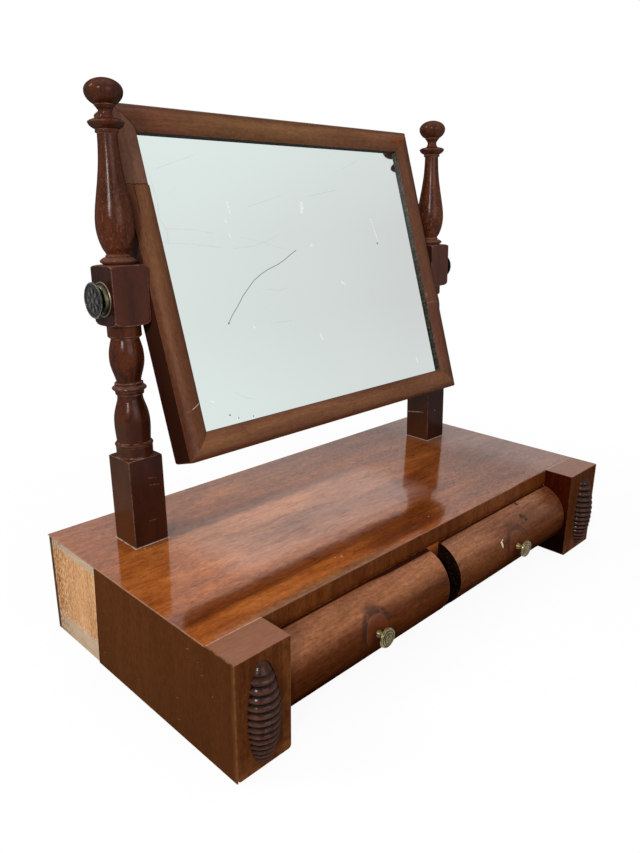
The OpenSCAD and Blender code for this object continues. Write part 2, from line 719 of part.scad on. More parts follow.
module drawer_stops() {
    stop_w = 22;
    stop_h = 14;
    color(PINE) for (x = [left_bay_x, right_bay_x], s = [-1, 1])
        translate([x + s * bay_w / 3 - stop_w / 2, board_back_y - stop_len, bottom_t])
            cube([stop_w, stop_len, stop_h]);
}

// Posts and pivots
module left_post() { color(DARK_MAHOGANY) post(-1); }
module right_post() { color(DARK_MAHOGANY) post(1); }
module left_pivot_flange() { color(BRASS) pivot_flange(-1); }
module right_pivot_flange() { color(BRASS) pivot_flange(1); }
module left_pivot_spacer() { color(BRASS) pivot_spacer(-1); }
module right_pivot_spacer() { color(BRASS) pivot_spacer(1); }
module left_pivot_knob() { color(BRONZE) pivot_knob(-1); }
module right_pivot_knob() { color(BRONZE) pivot_knob(1); }
module left_pivot_screw() { color(STEEL) pivot_screw(-1); }
module right_pivot_screw() { color(STEEL) pivot_screw(1); }

// Mirror
module frame_top_rail() {
    color(MAHOGANY) on_mirror() difference() {
        frame_member(180, frame_w, frame_h / 2);
        back_screws(fixed_gap);
    }
}
module frame_bottom_rail() {
    color(MAHOGANY) on_mirror() difference() {
        frame_member(0, frame_w, frame_h / 2);
        back_screws(fixed_gap);
    }
}
module splice_half(upper) {
    z = pivot_drop + splice_up + (upper ? joint_gap / 2 : -frame_h - joint_gap / 2);
    translate([-frame_w, -frame_h / 2, z]) cube([frame_w, frame_h, frame_h]);
}
module frame_left_stile() {
    color(MAHOGANY) on_mirror() difference() {
        intersection() {
            frame_member(90, frame_h, frame_w / 2);
            splice_half(false);
        }
        back_screws(fixed_gap);
        plate_seat(-1);
    }
}
module frame_left_splice() {
    color(MAHOGANY) on_mirror() difference() {
        intersection() {
            frame_member(90, frame_h, frame_w / 2);
            splice_half(true);
        }
        translate([-sight_w / 2 - splice_step, -frame_h / 2, 0]) cube([member_w, frame_h, frame_h]);
    }
}
module frame_right_stile() {
    color(MAHOGANY) on_mirror() difference() {
        frame_member(-90, frame_h, frame_w / 2);
        back_screws(fixed_gap);
        plate_seat(1);
    }
}
module mirror_glass() {
    edge = lip_w - 0.5;
    color("lightblue") on_mirror()
        translate([-sight_w / 2 - edge, pivot_depth - glass_front, pivot_drop - sight_h / 2 - edge])
        cube([sight_w + 2 * edge, glass_t, sight_h + 2 * edge]);
}
module glazing_slips() {
    slip_w = lip_w - 0.4;
    half_w = sight_w / 2 + lip_w - joint_gap;
    half_h = sight_h / 2 + lip_w - joint_gap;
    low = pivot_depth - glass_front + glass_t;
    deep = glass_front - glass_t - backboard_rebate;
    color(PINE) on_mirror() translate([0, low, pivot_drop]) {
        for (s = [-1, 1]) {
            translate([-half_w, 0, s * (half_h - slip_w / 2) - slip_w / 2])
                cube([2 * half_w, deep, slip_w]);
            translate([s * (half_w - slip_w / 2) - slip_w / 2, 0, -half_h + slip_w + joint_gap])
                cube([slip_w, deep, 2 * (half_h - slip_w - joint_gap)]);
        }
    }
}
module mirror_backboard() {
    half_w = sight_w / 2 + backboard_seat - joint_gap;
    half_h = sight_h / 2 + backboard_seat - joint_gap;
    color(PINE) on_mirror() difference() {
        translate([-half_w, pivot_depth - backboard_t, pivot_drop - half_h])
            cube([2 * half_w, backboard_t, 2 * half_h]);
        back_screws(fixed_gap);
    }
}
module backboard_screws() { color(STEEL) on_mirror() back_screws(0); }
module left_pivot_plate() { color(BRASS) pivot_plate(-1); }
module right_pivot_plate() { color(BRASS) pivot_plate(1); }
module plate_screws() {
    color(BRASS) on_mirror() for (s = [-1, 1])
        translate([s * frame_w / 2, 0, 0]) rotate([0, -s * 90, 0]) plate_screw_pair(0);
}

// Drawers
module left_drawer_front() { color(MAHOGANY) drawer_front(left_bay_x); }
module left_drawer_left_side() { color(PINE) drawer_side(left_bay_x - front_w / 2 + 0.2, 1); }
module left_drawer_right_side() {
    color(PINE) drawer_side(left_bay_x + front_w / 2 - 0.2 - drawer_side_t, -1);
}
module left_drawer_back() { color(PINE) drawer_back(left_bay_x); }
module left_drawer_bottom() { color(PINE) drawer_bottom(left_bay_x); }
module left_drawer_knob() { color(BRASS) drawer_knob(left_bay_x); }
module left_drawer_nut() { color(BRASS) drawer_nut(left_bay_x); }
module right_drawer_front() { color(MAHOGANY) drawer_front(right_bay_x); }
module right_drawer_left_side() { color(PINE) drawer_side(right_bay_x - front_w / 2 + 0.2, 1); }
module right_drawer_right_side() {
    color(PINE) drawer_side(right_bay_x + front_w / 2 - 0.2 - drawer_side_t, -1);
}
module right_drawer_back() { color(PINE) drawer_back(right_bay_x); }
module right_drawer_bottom() { color(PINE) drawer_bottom(right_bay_x); }
module right_drawer_knob() { color(BRASS) drawer_knob(right_bay_x); }
module right_drawer_nut() { color(BRASS) drawer_nut(right_bay_x); }

top_board();
top_veneer();
front_rail();
bottom_board();
bottom_lipping();
left_side();
right_side();
left_partition();
right_partition();
centre_divider();
back_board();
left_side_veneer();
right_side_veneer();
left_block();
right_block();
left_boss();
right_boss();
drawer_stops();
left_post();
right_post();
left_pivot_flange();
right_pivot_flange();
left_pivot_spacer();
right_pivot_spacer();
left_pivot_knob();
right_pivot_knob();
left_pivot_screw();
right_pivot_screw();
frame_top_rail();
frame_bottom_rail();
frame_left_stile();
frame_left_splice();
frame_right_stile();
mirror_glass();
glazing_slips();
mirror_backboard();
backboard_screws();
left_pivot_plate();
right_pivot_plate();
plate_screws();
left_drawer_front();
left_drawer_left_side();
left_drawer_right_side();
left_drawer_back();
left_drawer_bottom();
left_drawer_knob();
left_drawer_nut();
right_drawer_front();
right_drawer_left_side();
right_drawer_right_side();
right_drawer_back();
right_drawer_bottom();
right_drawer_knob();
right_drawer_nut();
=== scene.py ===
import bpy
import bmesh
import json
import math
from mathutils import Matrix, Vector


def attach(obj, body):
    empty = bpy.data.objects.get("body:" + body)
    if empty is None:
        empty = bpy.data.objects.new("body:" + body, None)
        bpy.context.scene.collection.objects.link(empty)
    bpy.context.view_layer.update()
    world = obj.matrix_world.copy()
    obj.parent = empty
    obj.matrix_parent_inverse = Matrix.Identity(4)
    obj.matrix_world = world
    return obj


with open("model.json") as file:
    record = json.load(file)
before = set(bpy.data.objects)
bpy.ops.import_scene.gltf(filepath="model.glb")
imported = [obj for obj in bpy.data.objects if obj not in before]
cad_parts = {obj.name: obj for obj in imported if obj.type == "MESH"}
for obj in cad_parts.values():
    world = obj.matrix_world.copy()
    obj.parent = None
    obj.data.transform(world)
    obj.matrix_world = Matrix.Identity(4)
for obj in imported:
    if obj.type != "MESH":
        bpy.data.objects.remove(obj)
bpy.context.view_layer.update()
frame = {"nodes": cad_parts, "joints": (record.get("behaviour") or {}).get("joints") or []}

scene = bpy.context.scene
nodes = frame["nodes"]


# Places in metres, taken from the frame

def corner(name, pick):
    """The lowest (min) or highest (max) x, y and z of a node, as it lies at rest."""
    return Vector([pick(c[axis] for c in nodes[name].bound_box) for axis in range(3)])


def middle(name):
    return (corner(name, min) + corner(name, max)) / 2


def both(*names):
    """The left and the right node of each name."""
    return [side + name for name in names for side in ("left_", "right_")]


PIVOT = Vector(next(joint["pos_m"] for joint in frame["joints"] if joint["name"] == "mirror_tilt"))
TILT = math.radians(18.0)
LEAN = (TILT, 0, 0)

SIDE_X, _, TOP_Z = corner("top_veneer", max)
CASE_FRONT = corner("front_rail", min).y
BLOCK_FRONT = corner("left_block", min).y
DRAWER_KNOB_X = [middle(name).x for name in both("drawer_knob")]
DRAWER_KNOB_Z = middle("left_drawer_knob").z

# The posts' feet on the case's top: the left one stands a little further out
FOOT_X, FOOT_Y = middle("right_post").x, 0.0725
FEET = (-FOOT_X - 0.0004, FOOT_X)
HALF_STOCK = FOOT_X - corner("right_post", min).x
PLINTH_TOP = 0.2175

# The mirror's frame: its sight edges and outer side, the middle's height and the left stile's splice
SIGHT_X, SIGHT_Z = corner("frame_right_stile", min).x, 0.13285
FRAME_HALF = corner("frame_right_stile", max).x
FRAME_MIDDLE = 0.004
SPLICE_Z = 0.0909

# The dished faces of the pivot knobs, as distances from the middle
DISH = 0.00085
KNOB_FACES = {-1: -corner("left_pivot_knob", min).x - DISH, 1: corner("right_pivot_knob", max).x - DISH}


# Colour helpers

def rgb(r, g, b):
    """A colour given as screen values 0 to 255, as the linear values a shader takes."""
    def one(c):
        c /= 255
        return c / 12.92 if c <= 0.04045 else ((c + 0.055) / 1.055) ** 2.4
    return (one(r), one(g), one(b), 1.0)


# Material building

class Nodes:
    """A node tree, with short calls for its sums, noises and masks. A mask is 1 inside and 0 outside."""

    def __init__(self, tree):
        self.tree = tree
        self.tree.nodes.clear()

    def add(self, kind, props=None, **inputs):
        node = self.tree.nodes.new(kind)
        for key, value in (props or {}).items():
            setattr(node, key, value)
        for key, value in inputs.items():
            self.put(node.inputs[key.replace("_", " ")], value)
        return node

    def put(self, socket, value):
        if isinstance(value, bpy.types.NodeSocket):
            self.tree.links.new(value, socket)
        else:
            socket.default_value = value

    def math(self, op, a, b=0.0, c=0.0, clamp=False):
        node = self.tree.nodes.new("ShaderNodeMath")
        node.operation = op
        node.use_clamp = clamp
        for i, value in enumerate((a, b, c)):
            self.put(node.inputs[i], value)
        return node.outputs[0]

    def plus(self, a, b):
        return self.math("ADD", a, b)

    def minus(self, a, b):
        return self.math("SUBTRACT", a, b)

    def times(self, a, b):
        return self.math("MULTIPLY", a, b)

    def size(self, value):
        return self.math("ABSOLUTE", value)

    def away(self, a, b):
        """How far a is from b, either way."""
        return self.size(self.minus(a, b))

    def radius(self, a, b):
        return self.math("SQRT", self.plus(self.times(a, a), self.times(b, b)))

    def sway(self, value, noise, amount):
        """The value moved to and fro by a noise, whose middle is 0.5."""
        return self.plus(value, self.times(self.minus(noise, 0.5), amount))

    def vec(self, op, a, b=(0, 0, 0), scale=None):
        node = self.tree.nodes.new("ShaderNodeVectorMath")
        node.operation = op
        self.put(node.inputs[0], a)
        self.put(node.inputs[1], b)
        if scale is not None:
            self.put(node.inputs["Scale"], scale)
        return node.outputs["Value"] if op in ("LENGTH", "DOT_PRODUCT", "DISTANCE") else node.outputs[0]

    def split(self, v):
        return self.add("ShaderNodeSeparateXYZ", Vector=v).outputs

    def flat(self, x, z):
        return self.add("ShaderNodeCombineXYZ", X=x, Z=z).outputs[0]

    def noise(self, vector, scale=1.0, detail=3.0, rough=0.5, twist=0.0):
        return self.add("ShaderNodeTexNoise", Vector=vector, Scale=scale, Detail=detail,
                        Roughness=rough, Distortion=twist).outputs[0]

    def spread(self, value, low, high, out_low=0.0, out_high=1.0, smooth=False):
        kind = "SMOOTHSTEP" if smooth else "LINEAR"
        return self.add("ShaderNodeMapRange", {"interpolation_type": kind}, Value=value, From_Min=low,
                        From_Max=high, To_Min=out_low, To_Max=out_high).outputs[0]

    def ramp(self, value, stops):
        node = self.add("ShaderNodeValToRGB", Fac=value)
        while len(node.color_ramp.elements) < len(stops):
            node.color_ramp.elements.new(0.5)
        for element, (place, colour) in zip(node.color_ramp.elements, stops):
            element.position = place
            element.color = colour
        return node.outputs[0]

    def mix(self, factor, a, b, blend="MIX"):
        node = self.tree.nodes.new("ShaderNodeMix")
        node.data_type = "RGBA"
        node.blend_type = blend
        node.clamp_factor = True
        self.put(node.inputs[0], factor)
        self.put(node.inputs[6], a)
        self.put(node.inputs[7], b)
        return node.outputs[2]

    def band(self, value, low, high, soft):
        """1 between low and high, with borders as wide as soft."""
        rise = self.spread(value, low - soft / 2, low + soft / 2, smooth=True)
        fall = self.spread(value, high + soft / 2, high - soft / 2, smooth=True)
        return self.times(rise, fall)

    def all(self, *masks):
        """The product of masks and plain numbers."""
        out = masks[0]
        for m in masks[1:]:
            out = self.times(out, m)
        return out

    def patchy(self, p, scale, low=0.4, high=0.6):
        """A ragged mask of islands about 1 / scale metres apart."""
        return self.spread(self.noise(p, scale, 3, 0.6), low, high)

    def most(self, *masks):
        """The highest of several masks at each point."""
        out = masks[0]
        for m in masks[1:]:
            out = self.math("MAXIMUM", out, m)
        return out

    def seen(self):
        """1 for what the camera sees directly, in a reflection or through glass, else 0."""
        path = self.add("ShaderNodeLightPath").outputs
        return self.most(path["Is Camera Ray"], path["Is Glossy Ray"], path["Is Transmission Ray"])


class Graph(Nodes):
    """A material's nodes and its colour so far. x, y and z are a point's place on the object, and nx, ny and
    nz the way its surface faces."""

    def __init__(self, name):
        self.mat = bpy.data.materials.new(name)
        self.mat.use_nodes = True
        super().__init__(self.mat.node_tree)
        self.out = self.add("ShaderNodeOutputMaterial")
        self.bsdf = self.add("ShaderNodeBsdfPrincipled")
        self.tree.links.new(self.bsdf.outputs[0], self.out.inputs["Surface"])
        coord = self.add("ShaderNodeTexCoord").outputs
        self.point, self.facing = coord["Object"], coord["Normal"]
        self.x, self.y, self.z = self.split(self.point)
        self.nx, self.ny, self.nz = self.split(self.facing)

    def mapped(self, scale=(1, 1, 1), spin=(0, 0, 0), source=None):
        node = self.add("ShaderNodeMapping", Vector=source or self.point, Rotation=spin, Scale=scale)
        return node.outputs[0]

    def streaky(self, scale, detail=3.0, rough=0.5, twist=0.0):
        """Noise with its own scale along x, y and z."""
        return self.noise(self.mapped(scale), 1.0, detail, rough, twist)

    def from_pivot(self):
        return self.vec("SUBTRACT", self.point, tuple(PIVOT))

    def mirror_axes(self):
        """The point's place from the pivot axis: across, into and up the tilted mirror."""
        return self.split(self.mapped(source=self.from_pivot(), spin=LEAN))

    def mirror_normal(self):
        return self.split(self.mapped(source=self.facing, spin=LEAN))

    def bump(self, height, strength, distance, normal=None):
        node = self.add("ShaderNodeBump", Height=height, Strength=strength, Distance=distance)
        if normal is not None:
            self.put(node.inputs["Normal"], normal)
        return node.outputs[0]

    def edge(self, radius, low=0.90, high=0.999):
        """1 on a convex or concave edge within the radius, 0 on flat ground."""
        soft = self.add("ShaderNodeBevel", {"samples": 6}, Radius=radius).outputs[0]
        true = self.add("ShaderNodeNewGeometry").outputs["Normal"]
        return self.spread(self.vec("DOT_PRODUCT", soft, true), high, low)

    def spot(self, centre, radii, soft=0.35, source=None, rag=0.0, rag_scale=300.0):
        """1 inside an ellipsoid, fading to 0 at its surface, which rag makes uneven."""
        src = source or self.point
        length = self.vec("LENGTH", self.vec("MULTIPLY", self.vec("SUBTRACT", src, centre),
                                             tuple(1 / r for r in radii)))
        if rag:
            length = self.sway(length, self.noise(src, rag_scale, 3), rag)
        return self.spread(length, 1.0, 1.0 - soft)

    def stroke(self, a, b, width, source=None, soft=0.5):
        """1 on the line from a to b, fading to 0 at half the width."""
        src = source or self.point
        a, b = Vector(a), Vector(b)
        ab = b - a
        t = self.math("DIVIDE", self.vec("DOT_PRODUCT", self.vec("SUBTRACT", src, tuple(a)), tuple(ab)),
                      ab.length_squared, clamp=True)
        near = self.vec("ADD", self.vec("SCALE", tuple(ab), scale=t), tuple(a))
        return self.spread(self.vec("DISTANCE", src, near), width / 2, width / 2 * (1 - soft))

    def line(self, points, width, source=None, soft=0.5):
        """1 along a line through several points."""
        return self.most(*[self.stroke(a, b, width, source, soft) for a, b in zip(points, points[1:])])

    def lay(self, colour, *masks):
        """Cover the colour so far with another: screen values, or the output of a node."""
        colour = rgb(*colour) if isinstance(colour, tuple) else colour
        self.color = self.mix(self.all(*masks), self.color, colour)

    def tint(self, factors, *masks):
        """Multiply the colour so far."""
        tinted = self.mix(1.0, self.color, (*factors, 1), "MULTIPLY")
        self.color = self.mix(self.all(*masks), self.color, tinted)

    def finish(self, rough, normal=None, metallic=0.0, specular=0.5, coat=0.0, coat_rough=0.05,
               coat_normal=None):
        """The material, with the colour so far."""
        b = self.bsdf.inputs
        self.put(b["Base Color"], self.color)
        self.put(b["Roughness"], rough)
        b["Metallic"].default_value = metallic
        b["Specular IOR Level"].default_value = specular
        self.put(b["Coat Weight"], coat)
        b["Coat Roughness"].default_value = coat_rough
        if normal is not None:
            self.put(b["Normal"], normal)
        if coat_normal is not None:
            self.put(b["Coat Normal"], coat_normal)
        return self.mat


def stretch(grain, along, across):
    """Texture frequency per metre, low along the grain and high across it."""
    return tuple(along if axis == grain else across for axis in "XYZ")


def wood_figure(g, p, bent, tones, grain, figure, streak, cloud):
    """Lay the colour of the wood's bands and clouds, and return the fine streaks that its bump follows."""
    wide = g.noise(g.mapped(stretch(grain, figure * 0.10, figure), source=bent), 1.0, 4, 0.55, 0.4)
    fine = g.noise(g.mapped(stretch(grain, figure * 0.6, figure * 9), source=bent), 1.0, 4, 0.6)
    clouds = g.noise(g.vec("ADD", p, (3.1, 1.7, 5.3)), 7.0, 3, 0.5)
    value = g.sway(g.sway(g.sway(0.5, wide, streak * 1.5), fine, streak * 0.6), clouds, cloud)
    g.color = g.ramp(value, [(place, rgb(*tone)) for place, tone in zip((0.12, 0.5, 0.88), tones)])
    return fine


def wood_pores(g, p, bent, grain):
    """Short dashes along the grain, in patches."""
    dash = g.noise(g.mapped(stretch(grain, 130, 1500), source=bent), 1.0, 1.5, 0.5)
    return g.all(g.spread(dash, 0.60, 0.70), g.spread(g.noise(p, 60.0, 2), 0.35, 0.6))


def wood_coat(g, coat, gloss, fleck, dim_rim):
    """The polish, thinner on dark flecks and where the surface turns away."""
    if gloss is not None:
        coat = gloss(g)
    coat = g.math("MULTIPLY", g.spread(fleck, 0.36, 0.64, 1.10, 0.72), coat, clamp=True)
    if dim_rim:
        away = g.add("ShaderNodeLayerWeight", Blend=0.5).outputs["Facing"]
        coat = g.times(coat, g.spread(away, 0.35, 0.85, 1.0, 1.0 - dim_rim))
    return coat


def wood(name, tones, grain="Z", figure=60, streak=0.75, cloud=0.5, mottle=0.5, pores=0.5, grime=0.25,
         rough=(0.3, 0.45), bump=0.35, coat=0.0, coat_rough=0.08, gloss=None, wave=0.0, dim_rim=0.0,
         wear=None, wear_amount=0.6, wear_radius=0.0012, spin=None, seed=0.0, paint=None):
    """Polished or bare wood. tones are its dark, middle and light colours and figure its bands per metre.
    streak, cloud, mottle, pores and grime say how strong its bands, clouds, flecks, pores and dirt are.
    gloss varies the polish over the surface, wave makes it uneven, wear is the colour of rubbed edges, and
    paint adds the marks of one piece."""
    g = Graph(name)
    p = g.point if spin is None else g.mapped(source=g.from_pivot(), spin=spin)
    p = g.vec("ADD", p, (seed, seed * 0.7, seed * 0.3))
    push = g.add("ShaderNodeTexNoise", Vector=p, Scale=9.0, Detail=2.0).outputs[1]
    bent = g.vec("ADD", p, g.vec("SCALE", g.vec("SUBTRACT", push, (0.5, 0.5, 0.5)), scale=0.006))
    fine = wood_figure(g, p, bent, tones, grain, figure, streak, cloud)
    fleck = g.noise(g.mapped(stretch(grain, 190, 420), source=bent), 1.0, 4, 0.7)
    g.tint((0.56, 0.46, 0.40), g.spread(fleck, 0.50, 0.64), mottle)
    g.tint((1.42, 1.46, 1.44), g.spread(fleck, 0.47, 0.34), mottle)
    pore = g.all(wood_pores(g, p, bent, grain), pores)
    g.tint((0.30, 0.26, 0.24), pore)
    speck = g.spread(g.noise(p, 420.0, 2, 0.6), 0.66, 0.74)
    g.lay((29, 20, 13), speck, grime)
    if paint is not None:
        paint(g, p)
    if wear is not None:
        g.lay(wear, g.edge(wear_radius), g.spread(g.noise(p, 170.0, 4, 0.6), 0.36, 0.62), wear_amount)
    normal = g.bump(g.minus(g.times(fine, 0.5), pore), bump, 0.00025)
    coat_normal = None
    if wave:
        coat_normal = g.bump(g.noise(p, 38.0, 3, 0.5), wave, 0.0006)
        coat_normal = g.bump(g.times(pore, -1.0), 0.15, 0.0001, coat_normal)
    roughness = g.spread(g.noise(p, 34.0, 5, 0.62), 0.3, 0.7, *rough)
    return g.finish(roughness, normal, specular=0.0, coat=wood_coat(g, coat, gloss, fleck, dim_rim),
                    coat_rough=coat_rough, coat_normal=coat_normal)


def dress(material, *names):
    for n in names:
        for s in nodes[n].material_slots:
            s.material = material


# Marks on the woods of the case, in metres

TOP_STREAKS = (
    # from y, to y, from x, to x, tint, amount
    (-0.081, -0.059, -0.290, 0.050, (0.38, 0.30, 0.27), 0.85),
    (-0.1015, -0.081, -0.085, 0.030, (0.42, 0.34, 0.40), 0.80),
    # painted sheen: a lighter patch standing in for the polish catching the light
    (-0.045, 0.052, -0.205, 0.080, (1.34, 1.46, 1.60), 0.75),
    (-0.112, -0.1015, -0.240, -0.070, (0.62, 0.80, 0.88), 0.85),
    (-0.060, -0.004, 0.020, 0.100, (0.52, 0.40, 0.52), 0.75),
    (0.052, 0.067, -0.190, -0.040, (0.58, 0.66, 0.58), 0.70),
    (-0.018, -0.004, -0.160, 0.010, (0.66, 0.66, 0.62), 0.60),
    # the next two rows are painted sheen, lighter patches of the polish
    (0.018, 0.050, -0.200, -0.030, (1.45, 1.55, 1.70), 0.75),
    (-0.052, -0.008, -0.262, -0.165, (1.35, 1.40, 1.50), 0.65),
    (-0.036, -0.022, 0.150, 0.270, (0.60, 0.78, 0.66), 0.55),
    (0.085, 0.135, -0.120, 0.120, (0.78, 0.82, 0.82), 0.50),
)
TOP_SPECKS = (
    # x, y, radius
    (-0.2304, 0.0503, 0.0009), (-0.2262, 0.0478, 0.0006), (-0.2210, 0.0492, 0.0007), (-0.150, -0.030, 0.0007),
    (-0.118, -0.082, 0.0008), (-0.112, -0.084, 0.0011), (0.012, -0.088, 0.0009), (-0.036, 0.061, 0.0006),
    (0.150, -0.066, 0.0007),
)


def paint_top_figure(g):
    """The top's long streaks with patches of painted sheen, its darker right end, partly a painted reflection
    of the right post, a pale painted sheen and a fine curl across the grain.
    """
    wavy = g.sway(g.y, g.streaky((3, 14, 1), 2), 0.016)
    for near, far, left, right, tint, amount in TOP_STREAKS:
        g.tint(tint, g.band(wavy, near, far, 0.009), g.band(g.x, left, right, 0.05), amount)
    # Darker right end: partly the wood's tone, partly a painted reflection of the right post.
    g.tint((0.38, 0.36, 0.50), g.spread(g.x, 0.07, 0.20), 0.68)
    # A pale painted sheen over the middle and the right end of the top.
    painted_sheen = g.most(g.all(g.band(g.y, -0.048, 0.055, 0.03), g.band(g.x, -0.195, 0.065, 0.05)),
                   g.all(g.spread(g.x, 0.185, 0.235), 0.9))
    g.lay((190, 164, 154), painted_sheen, 0.28)
    curl = g.streaky((26, 120, 1), 5, 0.7, 0.6)
    g.tint((0.55, 0.46, 0.42), g.spread(curl, 0.50, 0.62), 0.55)
    g.tint((1.25, 1.30, 1.35), g.spread(curl, 0.46, 0.36), 0.5)


def paint_top(g, p):
    """The figure, pale glue round the posts' feet, rubbed edges, specks and one scuff."""
    paint_top_figure(g)
    for foot in FEET:
        gap = g.minus(g.most(g.away(g.x, foot), g.away(g.y, FOOT_Y)), HALF_STOCK)
        g.lay((196, 182, 172), g.band(gap, -0.001, 0.0009, 0.0007), g.patchy(p, 260, 0.32, 0.5), 0.85)
    g.lay((160, 112, 78), g.spread(g.x, 0.0012 - SIDE_X, 0.0005 - SIDE_X), g.patchy(p, 200, 0.38, 0.62), 0.45)
    front = g.all(g.spread(g.y, CASE_FRONT + 0.0012, CASE_FRONT + 0.0004), g.patchy(p, 150, 0.38, 0.62), 0.3)
    g.lay((128, 90, 68), front)
    specks = g.most(*[g.spot((x, y, TOP_Z), (r, r, 0.002)) for x, y, r in TOP_SPECKS])
    g.lay((206, 186, 166), specks, 0.55)
    scuff = g.stroke((-0.070, 0.013, TOP_Z), (-0.058, 0.021, TOP_Z), 0.003)
    g.lay((206, 172, 148), scuff, g.patchy(p, 500, 0.42, 0.6), 0.6)


def gloss_top(g):
    return g.spread(g.x, 0.0, 0.2, 1.0, 0.74)


SIDE_NICKS = (
    # y, z, across, down, width
    (-0.0870, 0.0885, 0.0030, 0.0012, 0.0014), (-0.0990, 0.0830, 0.0018, 0.0010, 0.0008),
    (-0.1040, 0.0745, 0.0030, 0.0020, 0.0008), (-0.0690, 0.0350, 0.0026, 0.0014, 0.0008),
    (-0.0700, 0.0150, 0.0040, 0.0020, 0.0008), (-0.0110, 0.0200, 0.0022, 0.0016, 0.0008),
    (0.0470, 0.0170, 0.0020, 0.0010, 0.0010), (-0.1150, 0.0620, 0.0012, 0.0012, 0.0010),
)


def paint_side(g, p):
    """Darker towards the front and bottom, the torn rear edge on the left, a rubbed corner and nicks."""
    g.tint((0.76, 0.72, 0.78), g.spread(g.y, 0.04, -0.13), 0.8)
    g.tint((0.75, 0.85, 0.8), g.spread(g.z, 0.05, 0.0), g.patchy(p, 16, 0.35, 0.65), 0.5)
    tear = g.sway(g.plus(g.y, g.times(g.z, 0.055)), g.noise(p, 400.0, 3, 0.7), 0.0012)
    left = g.spread(g.x, 0.0, -0.1)
    g.tint((0.5, 0.3, 0.3), g.band(tear, 0.0572, 0.0592, 0.0008), left, 0.8)
    rubbed = g.plus(g.y, g.times(g.noise(g.mapped((1, 1, 0.3)), 160.0, 4, 0.6), 0.006))
    g.lay((122, 76, 42), g.spread(rubbed, BLOCK_FRONT + 0.0075, BLOCK_FRONT + 0.0029), 0.4)
    nicks = g.most(*[g.stroke((-SIDE_X, y, z), (-SIDE_X, y + across, z - down), width)
                     for y, z, across, down, width in SIDE_NICKS])
    g.lay((140, 98, 68), nicks, 0.4)
    g.lay((150, 104, 72), g.spread(g.z, TOP_Z - 0.0007, TOP_Z - 0.0002), g.patchy(p, 200, 0.4, 0.6), 0.4)


def paint_block(g, p):
    """Tops paler and redder as painted light, rubbed upright edges, the faces beside the drawers darkened as
    painted shade, and glue behind the tops.
    """
    up, front = g.spread(g.nz, 0.6, 0.9), g.spread(g.ny, -0.7, -0.9)
    # Painted light: the tops take a paler, redder tone than the upright faces.
    red = g.mix(g.streaky((70, 260, 1), 4, 0.6), rgb(112, 64, 40), rgb(156, 102, 72))
    g.lay(red, up, 0.8)
    rim = g.most(g.all(g.spread(g.x, -0.2738, -0.2770), 0.2), g.band(g.x, -0.2352, -0.2250, 0.004))
    g.lay((124, 74, 38), front, rim, g.patchy(p, 90, 0.35, 0.65), 0.45)
    g.lay((128, 78, 44), front, g.spread(g.z, 0.020, 0.0), g.patchy(p, 90, 0.35, 0.6), 0.55)
    # Painted shade on the faces beside the drawers, near black low down.
    inner = g.all(g.spread(g.nx, -0.6, -0.9), g.spread(g.x, 0.0, 0.1))
    g.tint((0.50, 0.18, 0.15), inner, 0.95)
    g.tint((0.08, 0.06, 0.06), inner, g.spread(g.z, 0.066, 0.020), 0.97)
    joint = g.band(g.y, CASE_FRONT - 0.0010, CASE_FRONT + 0.001, 0.0006)
    g.lay((196, 156, 132), joint, up, g.patchy(p, 180, 0.3, 0.5), 0.7)


def gloss_block(g):
    return g.spread(g.nz, 0.5, 0.9, 0.02, 0.70)


def paint_rail(g, p):
    """Short upright stripes, a dark lower edge as painted shadow over the drawers, and a paler stretch over
    the right drawer.
    """
    stripe = g.spread(g.streaky((90, 1, 6), 3, 0.7), 0.42, 0.62)
    g.tint((0.66, 0.58, 0.52), stripe, 0.35)
    # Painted shadow along the lower edge, over the drawers.
    g.tint((0.50, 0.26, 0.30), g.spread(g.z, 0.0872, 0.0822), 0.9)
    g.tint((1.35, 1.55, 2.1), g.band(g.x, 0.045, 0.175, 0.05), 0.9)


def ghost_ring(g, p, knob_x, strength):
    """The round, redder mark that a larger knob has left, with dark dirt round its upper left."""
    dx, dz = g.minus(g.x, knob_x), g.minus(g.z, DRAWER_KNOB_Z + 0.001)
    r = g.radius(dx, dz)
    red = g.mix(g.noise(p, 130.0, 4, 0.6), rgb(70, 31, 15), rgb(116, 60, 34))
    fading = g.spread(dz, -0.009, 0.001, 0.25, 1.0)
    g.lay(red, g.spread(r, 0.0142, 0.0133), fading, strength)
    upper = g.spread(g.minus(dz, g.times(dx, 0.5)), -0.006, 0.008)
    g.lay((160, 112, 84), g.band(r, 0.0137, 0.0149, 0.001), upper, strength, 0.3)
    smear = g.all(g.band(r, 0.0145, 0.0205, 0.003), upper, g.patchy(p, 120, 0.25, 0.5))
    smear = g.most(smear, g.all(g.spot((knob_x - 0.003, -0.1271, 0.0711), (0.011, 0.010, 0.0055), 0.8), 0.9))
    g.lay((52, 30, 26), smear, 0.2 + strength)


